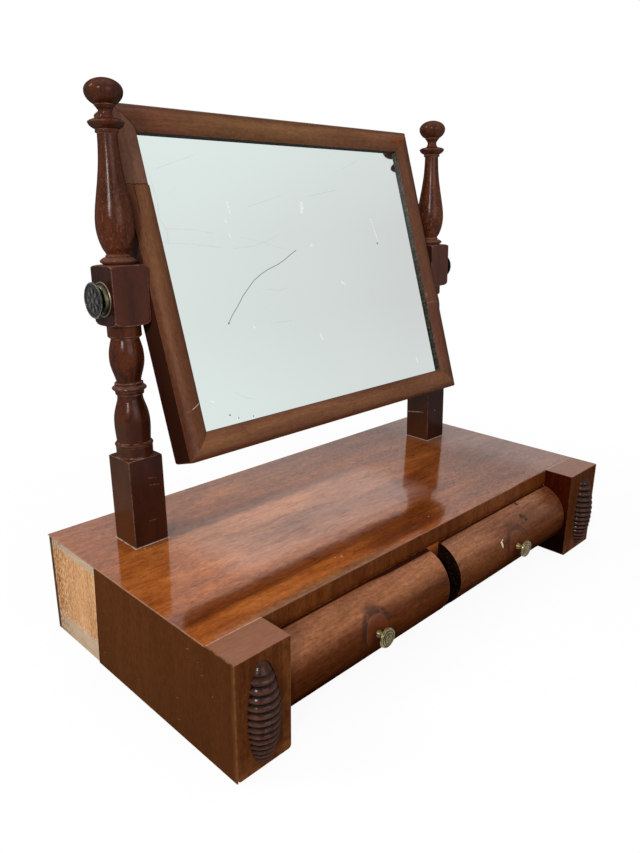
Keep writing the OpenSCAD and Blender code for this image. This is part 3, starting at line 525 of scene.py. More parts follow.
def paint_front(g, p):
    """A bowed front with painted light and shade: paler above, dark below, and black painted shadow on its
    inner end and where it meets the rail.
    """
    # Painted light on the upper part, which faces up.
    g.tint((1.42, 1.58, 1.80), g.spread(g.z, 0.067, 0.080))
    long = g.streaky((7, 60, 60), 4, 0.65)
    g.tint((0.62, 0.54, 0.50), g.spread(long, 0.50, 0.62), 0.6)
    # Painted shade, darker downwards.
    level = g.sway(g.z, g.streaky((20, 20, 20), 3), 0.008)
    g.tint((0.42, 0.33, 0.26), g.spread(level, 0.0720, 0.0570, smooth=True))
    g.tint((0.42, 0.36, 0.32), g.spread(level, 0.0560, 0.0280))
    # Painted shadow: black on the inner ends, beside the divider.
    ends = g.all(g.spread(g.size(g.nx), 0.7, 0.9), g.band(g.x, -0.04, 0.04, 0.002), 0.98)
    g.lay(g.mix(g.patchy(p, 500, 0.55, 0.72), rgb(9, 4, 3), rgb(50, 32, 26)), ends)
    # Painted shadow where the front meets the rail.
    wider = g.all(g.band(g.x, -0.090, 0.0, 0.04), 0.0022)
    g.lay((36, 10, 5), g.spread(g.plus(g.y, wider), -0.1094, -0.1086), g.spread(g.y, -0.1058, -0.1064), 0.94)


def gloss_front(g):
    return g.all(g.spread(g.z, 0.054, 0.072, 0.0, 0.38), g.spread(g.y, -0.1090, -0.1125, 0.1, 1.0))


def paint_left_front(g, p):
    paint_front(g, p)
    ghost_ring(g, p, DRAWER_KNOB_X[0], 0.6)


RIGHT_DENTS = (
    # centre, radii, softness, raggedness
    ((0.1452, -0.1116, 0.0807), (0.0026, 0.004, 0.0018), 0.4, 0.0),
    ((0.1348, -0.1245, 0.0736), (0.0042, 0.005, 0.0024), 0.5, 0.5),
    ((0.1397, -0.1284, 0.0697), (0.0034, 0.005, 0.0022), 0.5, 0.5),
    ((0.1372, -0.1258, 0.0724), (0.0070, 0.006, 0.0014), 0.7, 0.0),
)
RIGHT_CRACK = ((0.1200, -0.1272, 0.0710), (0.1235, -0.1305, 0.0670), (0.1295, -0.1332, 0.0622),
               (0.1337, -0.1358, 0.0548))


def paint_right_front(g, p):
    """The marks of the right front: a chip in dirt on its left, dents, a crack, and a painted shadow from the
    block on its outer end.
    """
    paint_front(g, p)
    ghost_ring(g, p, DRAWER_KNOB_X[1], 0.30)
    chip = g.most(g.spot((0.0829, -0.1340, 0.0606), (0.0017, 0.004, 0.0044), 0.3, rag=0.8, rag_scale=700.0),
                  g.stroke((0.0864, -0.132, 0.0645), (0.0810, -0.133, 0.0629), 0.0012))
    g.lay((222, 192, 158), chip, 0.9)
    dirt = g.most(g.spot((0.0941, -0.1334, 0.0619), (0.0090, 0.008, 0.0050), 0.9),
                  g.spot((0.0868, -0.1347, 0.0587), (0.0030, 0.006, 0.0060), 0.7))
    g.lay((58, 34, 30), dirt, g.patchy(p, 260, 0.3, 0.6), 0.9)
    dents = g.most(*[g.spot(centre, radii, soft, rag=rag, rag_scale=600.0)
                     for centre, radii, soft, rag in RIGHT_DENTS])
    g.lay((44, 24, 21), dents, 0.9)
    g.lay((54, 28, 22), g.line(RIGHT_CRACK, 0.0016), 0.75)
    # Painted shadow from the right block on the upper outer end.
    end = g.all(g.spread(g.x, 0.178, 0.204), g.spread(g.z, 0.060, 0.077), g.patchy(p, 70, 0.2, 0.5), 0.85)
    g.tint((0.42, 0.26, 0.22), end)


def paint_divider(g, p):
    """A paler, redder upper end as painted light, over a foot darkened as painted shade between the drawers.
    """
    # Painted shade on the foot between the drawers.
    g.tint((0.22, 0.18, 0.2), g.spread(g.z, 0.076, 0.060), 0.95)
    # Painted light on the upper end.
    g.lay((156, 86, 38), g.spread(g.z, 0.074, 0.082), 0.6)


# The bosses' ribs grow upwards. Rib n starts n * RIB_FIRST + n * (n - 1) / 2 * RIB_GROWTH mm above RIB_FOOT.
RIB_FOOT, RIB_TOP = 0.004, 0.0845
RIB_FIRST, RIB_GROWTH = 4.4, 0.2022


def paint_boss(g, p):
    """Darker grooves between the ribs, and crests that are rubbed paler and redder."""
    high = g.times(g.minus(g.z, RIB_FOOT), 1000.0)
    slope = RIB_FIRST - RIB_GROWTH / 2
    root = g.math("SQRT", g.math("MULTIPLY_ADD", high, 2 * RIB_GROWTH, slope ** 2))
    rib = g.times(g.minus(root, slope), 1 / RIB_GROWTH)
    off = g.away(g.math("FRACT", rib), 0.5)
    ribbed = g.spread(g.z, RIB_TOP, RIB_TOP - 0.002)
    g.lay((12, 7, 6), g.spread(off, 0.22, 0.42), ribbed, 0.9)
    g.lay((104, 64, 48), g.spread(off, 0.16, 0.0), ribbed, g.patchy(p, 240, 0.35, 0.6), 0.6)


def paint_pine(g, p):
    """Bare pine, rough with dark dashes, and grey with old glue along its upper and lower edge."""
    left = g.spread(g.nx, -0.6, -0.9)
    rough = g.streaky((520, 520, 240), 4, 0.7)
    calm = g.spread(g.noise(p, 30.0, 3), 0.40, 0.58)
    g.tint((0.50, 0.38, 0.28), g.spread(rough, 0.53, 0.63), calm, 0.55)
    g.lay((236, 204, 166), g.spread(rough, 0.45, 0.36), 0.45)
    wavy = g.sway(g.z, g.noise(p, 220.0, 4, 0.6), 0.006)
    grey = g.all(g.most(g.spread(wavy, 0.0215, 0.0185), g.spread(wavy, 0.0895, 0.0915)), left)
    glue = g.mix(g.streaky((1, 60, 400), 4, 0.6), rgb(160, 132, 102), rgb(214, 196, 172))
    g.lay(glue, grey, 0.85)
    bits = g.all(g.band(wavy, 0.0170, 0.0260, 0.003), g.spread(g.noise(p, 650.0, 2), 0.60, 0.66))
    g.lay((236, 222, 200), bits, 0.8)
    g.tint((0.40, 0.28, 0.19), g.spread(g.y, 0.096, 0.132), g.spread(rough, 0.46, 0.54), left, 0.75)


def paint_turnings(g, p):
    """The warm patches and pale grains of the turned parts, and dark dots under the pivot block."""
    warm = g.spread(g.streaky((70, 70, 34), 4, 0.7), 0.42, 0.66)
    g.lay((92, 42, 17), warm, g.spread(g.z, 0.44, 0.36, 0.3, 1.0), 0.62)
    g.lay((26, 10, 5), g.spread(g.noise(p, 480.0, 2), 0.60, 0.67), g.band(g.z, 0.22, 0.30, 0.01), 0.7)
    grains = g.spread(g.streaky((620, 620, 380), 2), 0.58, 0.70)
    g.lay((132, 78, 46), grains, g.spread(g.z, 0.35, 0.36), g.spread(g.z, 0.46, 0.38, 0.15, 0.5))


def paint_squares(g):
    """The plinth and the pivot block, in plainer tones than the turnings. Each face has its own tone as
    painted light and shade: the plinth's front darkest, its left face paler and warmer low down, and the
    block darker on its left faces.
    """
    plinth = g.spread(g.z, PLINTH_TOP + 0.001, PLINTH_TOP - 0.001)
    front, left = g.spread(g.ny, -0.6, -0.9), g.spread(g.nx, -0.6, -0.9)
    tone = g.spread(g.streaky((30, 30, 9), 3), 0.35, 0.65)
    # Painted shade on the plinth's front.
    g.lay(g.mix(tone, rgb(38, 16, 8), rgb(58, 25, 13)), plinth, front, 0.85)
    # Painted light: the plinth's left face paler than its front.
    g.lay((58, 38, 24), plinth, left, 0.6)
    g.lay((84, 46, 22), plinth, left, g.spread(g.z, 0.165, 0.120), 0.6)
    block = g.band(g.z, 0.3015, 0.3520, 0.001)
    tone = g.spread(g.streaky((60, 60, 8), 3), 0.35, 0.65)
    g.lay(g.mix(tone, rgb(52, 28, 22), rgb(72, 39, 32)), block, 0.75)
    # Painted shade on the block's left faces.
    g.tint((0.42, 0.34, 0.30), block, left, 0.9)


PLINTH_SCRATCHES = (
    # from, to, width
    ((-0.2178, 0.0575, 0.1650), (-0.2090, 0.0573, 0.1630), 0.0009),
    ((-0.2172, 0.0572, 0.1578), (-0.2072, 0.0570, 0.1562), 0.0012),
    ((-0.2255, 0.0570, 0.1665), (-0.2220, 0.0570, 0.1640), 0.0008),
    ((-0.2200, 0.0560, 0.1235), (-0.2120, 0.0560, 0.1235), 0.0009),
    ((-0.2120, 0.0560, 0.1480), (-0.2060, 0.0560, 0.1440), 0.0008),
)
RIGHT_PLINTH_SCRATCH = ((0.2015, 0.0890, 0.1345), (0.2020, 0.0640, 0.1385), (0.2180, 0.0560, 0.1400))


def paint_post(g, p):
    """Turnings and squares, the right post's turnings paler as painted sheen above its dark plinth, with dust
    and scratches.
    """
    paint_turnings(g, p)
    paint_squares(g)
    right_post = g.spread(g.x, 0.0, 0.1)
    # Painted sheen on the right post's turnings.
    g.tint((1.40, 1.50, 1.65), right_post, g.spread(g.z, 0.215, 0.22), 0.9)
    g.lay((190, 174, 162), g.spread(g.z, TOP_Z + 0.0008, TOP_Z), g.patchy(p, 260, 0.32, 0.5), 0.7)
    scratches = g.most(*[g.stroke(a, b, width) for a, b, width in PLINTH_SCRATCHES])
    g.lay((140, 104, 88), scratches, g.patchy(p, 400, 0.35, 0.6), 0.5)
    g.tint((0.55, 0.55, 0.6), right_post, g.spread(g.z, 0.22, 0.21), 0.8)
    g.lay((196, 160, 146), g.line(RIGHT_PLINTH_SCRATCH, 0.0013), g.patchy(p, 300, 0.35, 0.55), 0.8)
    ends = g.all(g.spread(g.size(g.nz), 0.5, 0.8), g.band(g.z, PLINTH_TOP - 0.004, 0.36, 0.001), 0.22)
    g.lay((140, 104, 92), ends)


# Woods of the case

MAHOGANY = ((112, 54, 20), (146, 78, 32), (176, 104, 50))
WORN = (164, 110, 70)

top_wood = wood("top_wood", MAHOGANY, "X", figure=42, streak=0.7, cloud=0.4, pores=0.6, rough=(0.4, 0.5),
                coat_rough=0.09, wave=0.25, gloss=gloss_top, wear=WORN, wear_amount=0.2, paint=paint_top)
# The block, side and rail woods take darker tones than the top's mahogany: painted shade for their upright
# faces.
block_wood = wood("block_wood", ((58, 28, 11), (76, 39, 17), (100, 56, 27)), figure=40, coat_rough=0.22,
                  gloss=gloss_block, wear=(132, 88, 56), wear_amount=0.4, wear_radius=0.0016, seed=0.31,
                  paint=paint_block)
side_wood = wood("side_wood", ((74, 38, 13), (84, 46, 18), (96, 54, 24)), streak=0.45, cloud=0.3, mottle=0.3,
                 pores=0.3, rough=(0.4, 0.55), coat=0.03, coat_rough=0.3, wear=WORN, wear_amount=0.4,
                 seed=0.9, paint=paint_side)
rail_wood = wood("rail_wood", ((68, 30, 9), (90, 45, 16), (110, 60, 25)), figure=85, streak=0.6, cloud=0.3,
                 pores=0.6, rough=(0.35, 0.5), coat=0.06, coat_rough=0.25, wear=WORN, wear_amount=0.5,
                 seed=1.3, paint=paint_rail)
FRONT = dict(figure=48, streak=0.9, pores=0.7, gloss=gloss_front, coat_rough=0.25, wear=WORN, wear_amount=0.3)
left_front_wood = wood("left_front_wood", ((92, 48, 26), (124, 74, 44), (152, 96, 62)), "X", **FRONT,
                       seed=1.9, paint=paint_left_front)
right_front_wood = wood("right_front_wood", ((94, 53, 31), (130, 81, 52), (162, 109, 74)), "X", **FRONT,
                        seed=2.7, paint=paint_right_front)
divider_wood = wood("divider_wood", ((58, 26, 12), (100, 52, 24), (150, 78, 34)), rough=(0.4, 0.55),
                    coat=0.1, coat_rough=0.3, seed=2.4, paint=paint_divider)
boss_wood = wood("boss_wood", ((32, 16, 10), (50, 27, 19), (78, 44, 31)), pores=0.4, grime=0.5, coat=0.23,
                 coat_rough=0.17, wave=0.5, dim_rim=0.7, seed=2.9, paint=paint_boss)
post_wood = wood("post_wood", ((34, 13, 6), (56, 25, 12), (86, 41, 19)), streak=0.8, mottle=0.35, coat=0.22,
                 coat_rough=0.20, wave=0.35, dim_rim=0.85, wear=(156, 116, 100), wear_amount=0.8,
                 wear_radius=0.0013, seed=3.4, paint=paint_post)
PINE = dict(figure=70, streak=0.8, pores=0.2)
pine = wood("pine", ((178, 128, 84), (208, 158, 112), (226, 182, 138)), **PINE, rough=(0.65, 0.85),
            grime=0.35, seed=4.4, bump=0.9, paint=paint_pine)
pine_x = wood("pine_x", ((160, 116, 74), (188, 142, 98), (210, 168, 124)), "X", **PINE, rough=(0.6, 0.8),
              grime=0.3, seed=5.1, bump=0.6, paint=paint_pine)
pine_y = wood("pine_y", ((150, 106, 64), (178, 132, 86), (202, 158, 110)), "Y", **PINE, rough=(0.6, 0.8),
              grime=0.3, seed=5.9, bump=0.6)
back_wood = wood("back_wood", ((58, 40, 28), (84, 62, 46), (108, 82, 62)), "X", streak=0.8, cloud=0.6,
                 pores=0.3, rough=(0.6, 0.8), grime=0.4, seed=6.3, bump=0.6)


# Woods of the mirror, in the tilted frame

MOULDING = FRAME_HALF - SIGHT_X


class Member:
    """Where a point lies on a stile or rail of the mirror's frame, and the masks of its parts."""

    def __init__(self, g, upright):
        self.x, _, self.z = g.mirror_axes()
        nx, _, nz = g.mirror_normal()
        high = g.minus(self.z, FRAME_MIDDLE)
        self.from_side = g.minus(g.size(self.x), SIGHT_X)
        self.from_end = g.minus(g.size(high), SIGHT_Z)
        self.across = self.from_side if upright else self.from_end
        self.turned = g.times(nx, g.math("SIGN", self.x)) if upright else g.times(nz, g.math("SIGN", high))
        self.left, self.right = g.spread(self.x, 0.01, 0.0), g.spread(self.x, 0.0, 0.01)
        self.upper = g.spread(self.z, 0.0, 0.01)
        self.flat = g.flat(self.x, self.z)


def paint_moulding(g, member, upright):
    """Blotches, a paler crown as a painted highlight, a darker band along the outer edge as painted shade,
    and a darker band along the inner edge.
    """
    blotch = g.patchy(g.mapped((24, 24, 8) if upright else (8, 24, 24)), 1.0, 0.35, 0.65)
    g.tint((0.74, 0.66, 0.66), blotch, 0.6)
    # Painted highlight on the rounded crown of the moulding.
    crown_highlight = g.band(member.across, MOULDING * 0.22, MOULDING * 0.74, MOULDING * 0.3)
    g.tint((1.16, 1.24, 1.16), crown_highlight, 0.2 if upright else 0.7)
    # Painted shade towards the outer edge, where the moulding turns away.
    outer = g.all(g.spread(member.across, MOULDING * 0.74, MOULDING * 0.98), 0.9)
    if upright:
        outer = g.all(outer, g.most(member.right, g.spread(member.z, SPLICE_Z, SPLICE_Z - 0.012)))
    g.tint((0.50, 0.38, 0.38), outer)
    g.tint((0.66, 0.56, 0.56), g.spread(member.across, MOULDING * 0.16, 0.0), 0.5)


def paint_left_stile(g, member):
    """The paler splice with its dark joint and a split under it, and a stile that darkens downwards."""
    left, z = member.left, member.z
    g.tint((1.10, 1.34, 1.85), left, g.spread(z, SPLICE_Z - 0.0002, SPLICE_Z + 0.0002), 0.9)
    g.tint((0.88, 0.94, 0.90), left, g.band(z, -0.02, 0.085, 0.05), 0.7)
    g.tint((0.78, 0.74, 0.76), left, g.spread(z, 0.02, -0.06), 0.8)
    jag = g.sway(z, g.streaky((300, 1, 1), 2), 0.003)
    g.lay((26, 16, 14), left, g.band(jag, SPLICE_Z - 0.0005, SPLICE_Z + 0.0004, 0.0005), 0.85)
    g.lay((48, 28, 20), g.band(member.x, -0.1936, -0.1928, 0.0006), g.band(z, 0.064, SPLICE_Z, 0.012), 0.7)
    start, bend, end = (-0.1930, 0, -0.1080), (-0.187, 0, -0.1062), (-0.1770, 0, -0.1022)
    g.lay((206, 178, 156), g.stroke(bend, end, 0.0010, member.flat), 0.8)
    g.lay((150, 112, 90), g.stroke(start, bend, 0.0008, member.flat), 0.3)


def paint_right_stile(g, p, member):
    """Mended places low on the right stile, and redder wood below them."""
    crack = ((0.1762, 0, -0.0462), (0.1850, 0, -0.0452), (0.1985, 0, -0.0480))
    mends = g.most(g.spot((0.1772, 0, -0.0360), (0.0022, 1, 0.0040), 0.5, member.flat),
                   g.line(crack, 0.0014, member.flat))
    g.lay((150, 112, 86), mends, g.patchy(p, 300, 0.3, 0.6), 0.6)
    g.tint((0.80, 0.66, 0.74), member.right, g.band(member.z, -0.11, -0.045, 0.02), 0.5)


def paint_top_rail(g, p, member):
    """A golden middle, a redder left end, a rubbed outer edge, and a red stain by the right corner."""
    g.tint((1.12, 1.28, 1.14), member.upper, g.band(member.x, -0.120, 0.050, 0.06), 0.8)
    g.tint((0.96, 0.84, 0.96), member.upper, g.spread(member.x, -0.120, -0.150), 0.7)
    g.lay((122, 112, 88), member.upper, g.spread(member.across, MOULDING * 0.93, MOULDING), 0.6)
    flame = g.most(g.spot((0.1800, 0, 0.1480), (0.0150, 1, 0.0042), 0.8, member.flat, 0.5),
                   g.spot((0.1880, 0, 0.1500), (0.0060, 1, 0.0050), 0.8, member.flat, 0.5))
    g.lay((132, 64, 30), flame, 0.65)
    g.lay((50, 18, 12), flame, g.patchy(p, 420, 0.52, 0.6), 0.8)


def paint_mitres(g, p, member):
    """The corners' joints, open and dark at the upper left and faint at the others."""
    mitre = g.band(g.minus(member.from_side, member.from_end), -0.0007, 0.0007, 0.0006)
    upper_left = g.all(member.left, member.upper)
    g.lay((40, 22, 20), mitre, upper_left, 0.85)
    g.lay((60, 34, 24), mitre, g.minus(1.0, upper_left), g.patchy(p, 150, 0.3, 0.6), 0.35)


def paint_member(upright):
    """The marks of a stile, which is upright, or of a rail."""
    def paint(g, p):
        member = Member(g, upright)
        paint_moulding(g, member, upright)
        if upright:
            g.tint((0.72, 0.76, 0.98), member.right, 0.7)
            # Painted shade on the outer part of the right stile's face.
            painted_right_shade = g.all(member.right, g.spread(member.across, MOULDING * 0.35, MOULDING * 0.9), 0.8)
            g.tint((0.60, 0.54, 0.56), painted_right_shade)
            paint_left_stile(g, member)
            paint_right_stile(g, p, member)
        else:
            paint_top_rail(g, p, member)
        paint_mitres(g, p, member)
        # The outer sides, darkening downwards as painted shade.
        outside = g.mix(g.spread(member.z, 0.13, -0.10), rgb(78, 46, 34), rgb(36, 15, 8))
        g.lay(outside, g.spread(member.turned, 0.9, 0.97), 0.9)
        dust = g.patchy(g.mapped((480, 480, 480)), 1.0, 0.45, 0.64)
        lip = g.mix(dust, rgb(26, 27, 24), rgb(72, 76, 69) if upright else rgb(48, 50, 44))
        g.lay(lip, g.spread(member.turned, -0.9, -0.97), 0.95)
    return paint


FRAME = dict(tones=((80, 46, 30), (107, 68, 46), (132, 88, 60)), streak=0.6, mottle=0.32, rough=(0.35, 0.5),
             coat_rough=0.2, wear=WORN, wear_amount=0.25, dim_rim=0.6, spin=LEAN)
rail_band = wood("rail_band", grain="X", **FRAME, coat=0.16, seed=7.0, paint=paint_member(False))
stile_band = wood("stile_band", **FRAME, coat=0.09, seed=7.7, paint=paint_member(True))
backing = wood("backing", ((128, 92, 58), (156, 116, 76), (180, 140, 96)), figure=45, streak=0.9, cloud=0.6,
               pores=0.2, rough=(0.6, 0.8), grime=0.4, spin=LEAN, seed=8.2, bump=0.6)


# Metals and glass

def metal(name, low, high, rough, tarnish, tarnish_amount=0.5, wear=None, seed=0.0, paint=None):
    """Old metal between two colours, with patches of tarnish and, if wear gives a colour, rubbed edges."""
    g = Graph(name)
    p = g.vec("ADD", g.point, (seed, seed, seed))
    g.color = g.mix(g.spread(g.noise(p, 90.0, 5, 0.6), 0.3, 0.7), rgb(*low), rgb(*high))
    g.lay(tarnish, g.spread(g.noise(p, 234.0, 4, 0.65), 0.48, 0.66), tarnish_amount)
    if wear is not None:
        g.lay(wear, g.edge(0.0006), g.patchy(p, 400, 0.35, 0.6), 0.8)
    if paint is not None:
        paint(g, p)
    roughness = g.spread(g.noise(p, 153.0, 4), 0.3, 0.7, *rough)
    return g.finish(roughness, g.bump(g.noise(p, 700.0, 3), 0.12, 0.0001), metallic=1.0)


def paint_flange(g, p):
    """A worn, pinkish rim bead, paler towards its top as a painted highlight, round an olive dome with
    painted shade underneath.
    """
    _, y, z = g.split(g.from_pivot())
    r = g.radius(y, z)
    # Painted shade on the lower part of the dome.
    g.tint((0.16, 0.15, 0.16), g.spread(z, 0.001, -0.009), g.spread(r, 0.0138, 0.0128), 0.9)
    g.lay((40, 28, 22), g.band(r, 0.0127, 0.0134, 0.0003), 0.85)
    # The rim bead, brighter towards the top as a painted highlight.
    g.lay((112, 96, 84), g.spread(r, 0.0138, 0.0141), g.spread(z, -0.010, 0.004, 0.25, 0.8))


def paint_pull(g, p):
    """Black dirt in the turned rings of a drawer knob's face, and a dull neck."""
    dx = g.math("MINIMUM", *[g.away(g.x, x) for x in DRAWER_KNOB_X])
    r = g.radius(dx, g.minus(g.z, DRAWER_KNOB_Z))
    rings = g.most(g.band(r, 0.0064, 0.0073, 0.0005), g.band(r, 0.0042, 0.0051, 0.0005),
                   g.band(r, 0.0016, 0.0022, 0.0004))
    g.lay((26, 20, 11), rings, g.spread(g.y, -0.1465, -0.1470), 0.85)
    g.tint((0.6, 0.56, 0.5), g.spread(r, 0.0090, 0.0088), g.spread(g.y, -0.1450, -0.1440), 0.5)


def paint_knob(g, p):
    """The pressed ornament, rubbed bright on its high parts and black in its hollows."""
    shift, face = (KNOB_FACES[1] - KNOB_FACES[-1]) / 2, (KNOB_FACES[1] + KNOB_FACES[-1]) / 2
    high = g.minus(g.away(g.x, shift), face)
    g.lay((8, 8, 7), g.band(high, 0.0, 0.00025, 0.0002), 0.8)
    g.lay((124, 121, 113), g.spread(high, 0.00062, 0.00085), g.patchy(p, 900, 0.38, 0.6), 0.6)


brass = metal("brass_aged", (84, 72, 44), (134, 118, 80), (0.22, 0.42), tarnish=(48, 39, 23),
              tarnish_amount=0.7, wear=(222, 210, 170), seed=0.2, paint=paint_pull)
flange_brass = metal("flange_brass", (66, 62, 46), (98, 94, 72), (0.3, 0.5), tarnish=(40, 36, 26), seed=0.5,
                     paint=paint_flange)
bronze = metal("bronze_dark", (14, 14, 13), (36, 35, 33), (0.28, 0.4), tarnish=(8, 8, 8),
               wear=(150, 148, 140), seed=0.8, paint=paint_knob)
steel = metal("steel_plain", (120, 118, 114), (160, 158, 152), (0.3, 0.5), tarnish=(84, 66, 50), seed=1.1)


# Marks on the glass, in millimetres across and up the mirror from the pivot axis
LONG_SCRATCH = ((-122, -36), (-116, -29), (-108, -22), (-98, -12), (-88, -4), (-80, 2), (-70, 7), (-60, 11),
                (-46, 15), (-36, 19), (-26, 24), (-17, 28))
HAIRLINES = (
    ((-175, 42), (-140, 39), (-110, 35)), ((-167, 54), (-135, 52), (-115, 48)),
    ((-98, 33), (-70, 35), (-52, 39), (-36, 45)), ((-85, 44), (-60, 38), (-40, 32), (-17, 27)),
    ((-66, -8), (-52, -11), (-40, -9)), ((-71, -42), (-44, -42)), ((-132, -100), (-120, -108), (-110, -111)),
    ((-162, 107), (-118, 121)), ((-68, 73), (-22, 84)), ((80, 115), (105, 124)), ((18, 84), (62, 91)),
    ((-171, 100), (-169, 80), (-171, 64), (-166, 52), (-168, 40)), ((110, 31), (113, 29), (117, 28)),
)
WHITE_MARKS = (
    # from, to, width
    ((-92, 67), (-92, 78), 2.0), ((-99, 59), (-99, 60), 2.4), ((-98, 44), (-98, 47), 2.6),
    ((3, 68), (5, 76), 6.0), ((5, 32), (8, 33), 3.2), ((40, -9), (45, -12), 3.4), ((-8, -61), (-6, -66), 3.0),
    ((109, 58), (114, 33), 1.8), ((140, -108), (141, -113), 3.0), ((-94, -42), (-92, -44), 2.2),
    ((-161, -103), (-159, -104), 2.6), ((-145, -121), (-143, -120), 3.0), ((-137, -125), (-135, -124), 2.6),
    ((-119, -127), (-116, -126), 2.2),
)
DARK_DOTS = (
    # across, up, radius
    (-144, -119.5, 1.3), (-135, -124, 1.0), (-117.5, -125.8, 1.0), (-122, -36, 1.2), (112, 30.5, 1.4),
)


def on_glass(point):
    return (point[0] / 1000, 0, point[1] / 1000)


def glass_material():
    """A faintly green, cloudy and specked mirror, with hairlines, white and dark marks and a scratch."""
    g = Graph("old_mirror")
    x, _, z = g.mirror_axes()
    flat = g.flat(x, z)
    slope = g.spread(g.minus(x, g.times(z, 0.4)), -0.17, 0.17)
    g.color = g.mix(slope, rgb(217, 226, 223), rgb(206, 210, 208))
    g.tint((1.05, 1.07, 1.07), g.spread(g.away(z, FRAME_MIDDLE), 0.04, 0.12))
    g.tint((0.97, 0.985, 0.98), g.spread(g.noise(flat, 9.0, 4), 0.3, 0.7), 0.5)
    g.lay((164, 166, 160), g.spread(g.noise(flat, 260.0, 2, 0.7), 0.735, 0.76), 0.6)
    hairs = g.most(*[g.line([on_glass(q) for q in points], 0.0011, flat, 0.9) for points in HAIRLINES])
    g.lay((138, 144, 140), hairs, g.patchy(flat, 120, 0.25, 0.6), 0.24)
    white = g.most(*[g.stroke(on_glass(a), on_glass(b), w / 1000, flat, 0.7) for a, b, w in WHITE_MARKS])
    g.lay((250, 250, 248), white, g.patchy(flat, 500, 0.4, 0.6), 0.9)
    dots = g.most(*[g.spot(on_glass((a, b)), (r / 1000, 1, r / 1000), 0.5, flat) for a, b, r in DARK_DOTS])
    g.lay((52, 52, 48), dots, 0.8)
    g.lay((74, 76, 72), g.line([on_glass(q) for q in LONG_SCRATCH], 0.0011, flat, 0.6), 0.75)
    return g.finish(g.spread(g.noise(flat, 22.0, 4), 0.3, 0.75, 0.02, 0.06), metallic=1.0)


mirror_glass = glass_material()

dress(top_wood, "top_veneer")
dress(block_wood, *both("block"))
dress(side_wood, *both("side_veneer"))
dress(rail_wood, "front_rail", "bottom_lipping")
dress(left_front_wood, "left_drawer_front")
dress(right_front_wood, "right_drawer_front")
dress(divider_wood, "centre_divider")
dress(boss_wood, *both("boss"))
dress(post_wood, *both("post"))
dress(pine, "drawer_stops", *both("side", "partition"))
dress(pine_x, "top_board", "bottom_board", *both("drawer_back", "drawer_bottom"))
dress(pine_y, *both("drawer_left_side", "drawer_right_side"))
dress(back_wood, "back_board")
dress(rail_band, "frame_top_rail", "frame_bottom_rail")
dress(stile_band, "frame_left_stile", "frame_left_splice", "frame_right_stile")
dress(backing, "mirror_backboard", "glazing_slips")
dress(mirror_glass, "mirror_glass")
dress(brass, "plate_screws", *both("drawer_knob", "drawer_nut", "pivot_plate", "pivot_spacer"))
dress(flange_brass, *both("pivot_flange"))
dress(bronze, *both("pivot_knob"))
dress(steel, "backboard_screws", *both("pivot_screw"))


# Pressed rosettes on the pivot knobs

BOSS_R, BOSS_H = 2.7, 1.0
PETAL_PAIRS, PETAL_IN, PETAL_OUT, PETAL_H = 4, 3.2, 10.8, 0.85
BEADS, BEAD_RING, BEAD_R, BEAD_H = 28, 11.9, 0.8, 0.5
ROSETTE_R, ROSETTE_RINGS, ROSETTE_SPOKES = 12.9, 44, 168


def dome(distance, radius):
    return math.sqrt(max(0.0, 1 - (distance / radius) ** 2))


def rosette_height(r, turn):
    """Height in mm over the knob's face at radius r mm: a boss, eight petals and a ring of beads."""
    petal = beads = 0.0
    if PETAL_IN < r < PETAL_OUT:
        along = (r - PETAL_IN) / (PETAL_OUT - PETAL_IN)
        ray = math.cos(PETAL_PAIRS * turn)
        petal = PETAL_H * abs(ray) ** 0.7 * math.sin(math.pi * along) ** 0.6
        if petal > 0.5:
            petal -= 0.25 * math.exp(-(ray / 0.25) ** 2)
    if abs(r - BEAD_RING) < BEAD_R:
        beads = BEAD_H * dome(r - BEAD_RING, BEAD_R) * (0.55 + 0.45 * math.cos(BEADS * turn))
    return max(BOSS_H * dome(r, BOSS_R), petal, beads)


def rosette(name, side, body):
    """The pressed ornament on the dished face of one pivot knob, with a flat cone behind it."""
    face = KNOB_FACES[side]
    bm = bmesh.new()

    def point(ring, spoke):
        r = ROSETTE_R * ring / ROSETTE_RINGS
        turn = 2 * math.pi * spoke / ROSETTE_SPOKES
        return bm.verts.new((side * (face + rosette_height(r, turn) / 1000),
                             PIVOT.y + r / 1000 * math.cos(turn), PIVOT.z + r / 1000 * math.sin(turn)))

    rows = [[point(ring, spoke) for spoke in range(ROSETTE_SPOKES)] for ring in range(1, ROSETTE_RINGS + 1)]
    tip = point(0, 0)
    back = bm.verts.new((side * (face - 0.0003), PIVOT.y, PIVOT.z))
    for j in range(ROSETTE_SPOKES):
        k = (j + 1) % ROSETTE_SPOKES
        bm.faces.new((tip, rows[0][j], rows[0][k]))
        bm.faces.new((back, rows[-1][k], rows[-1][j]))
        for a, b in zip(rows, rows[1:]):
            bm.faces.new((a[j], b[j], b[k], a[k]))
    bmesh.ops.recalc_face_normals(bm, faces=bm.faces)
    for f in bm.faces:
        f.smooth = True
    mesh = bpy.data.meshes.new(name)
    bm.to_mesh(mesh)
    bm.free()
    piece = bpy.data.objects.new(name, mesh)
    scene.collection.objects.link(piece)
    mesh.materials.append(bronze)
    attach(piece, body)


rosette("left_pivot_rosette", -1, "left_knob")
rosette("right_pivot_rosette", 1, "right_knob")

# Softened arrises on the sharp boards

def soften(width, *names):
    for n in names:
        m = nodes[n].modifiers.new("arris", "BEVEL")
        m.width = width
        m.segments = 2
        m.limit_method = "ANGLE"
        m.angle_limit = math.radians(50)
        m.harden_normals = False


soften(0.0006, "top_veneer", "back_board", "front_rail", "bottom_lipping", *both("side_veneer"))
soften(0.0009, *both("block", "drawer_front"))

# Floor, backdrop light and lamps

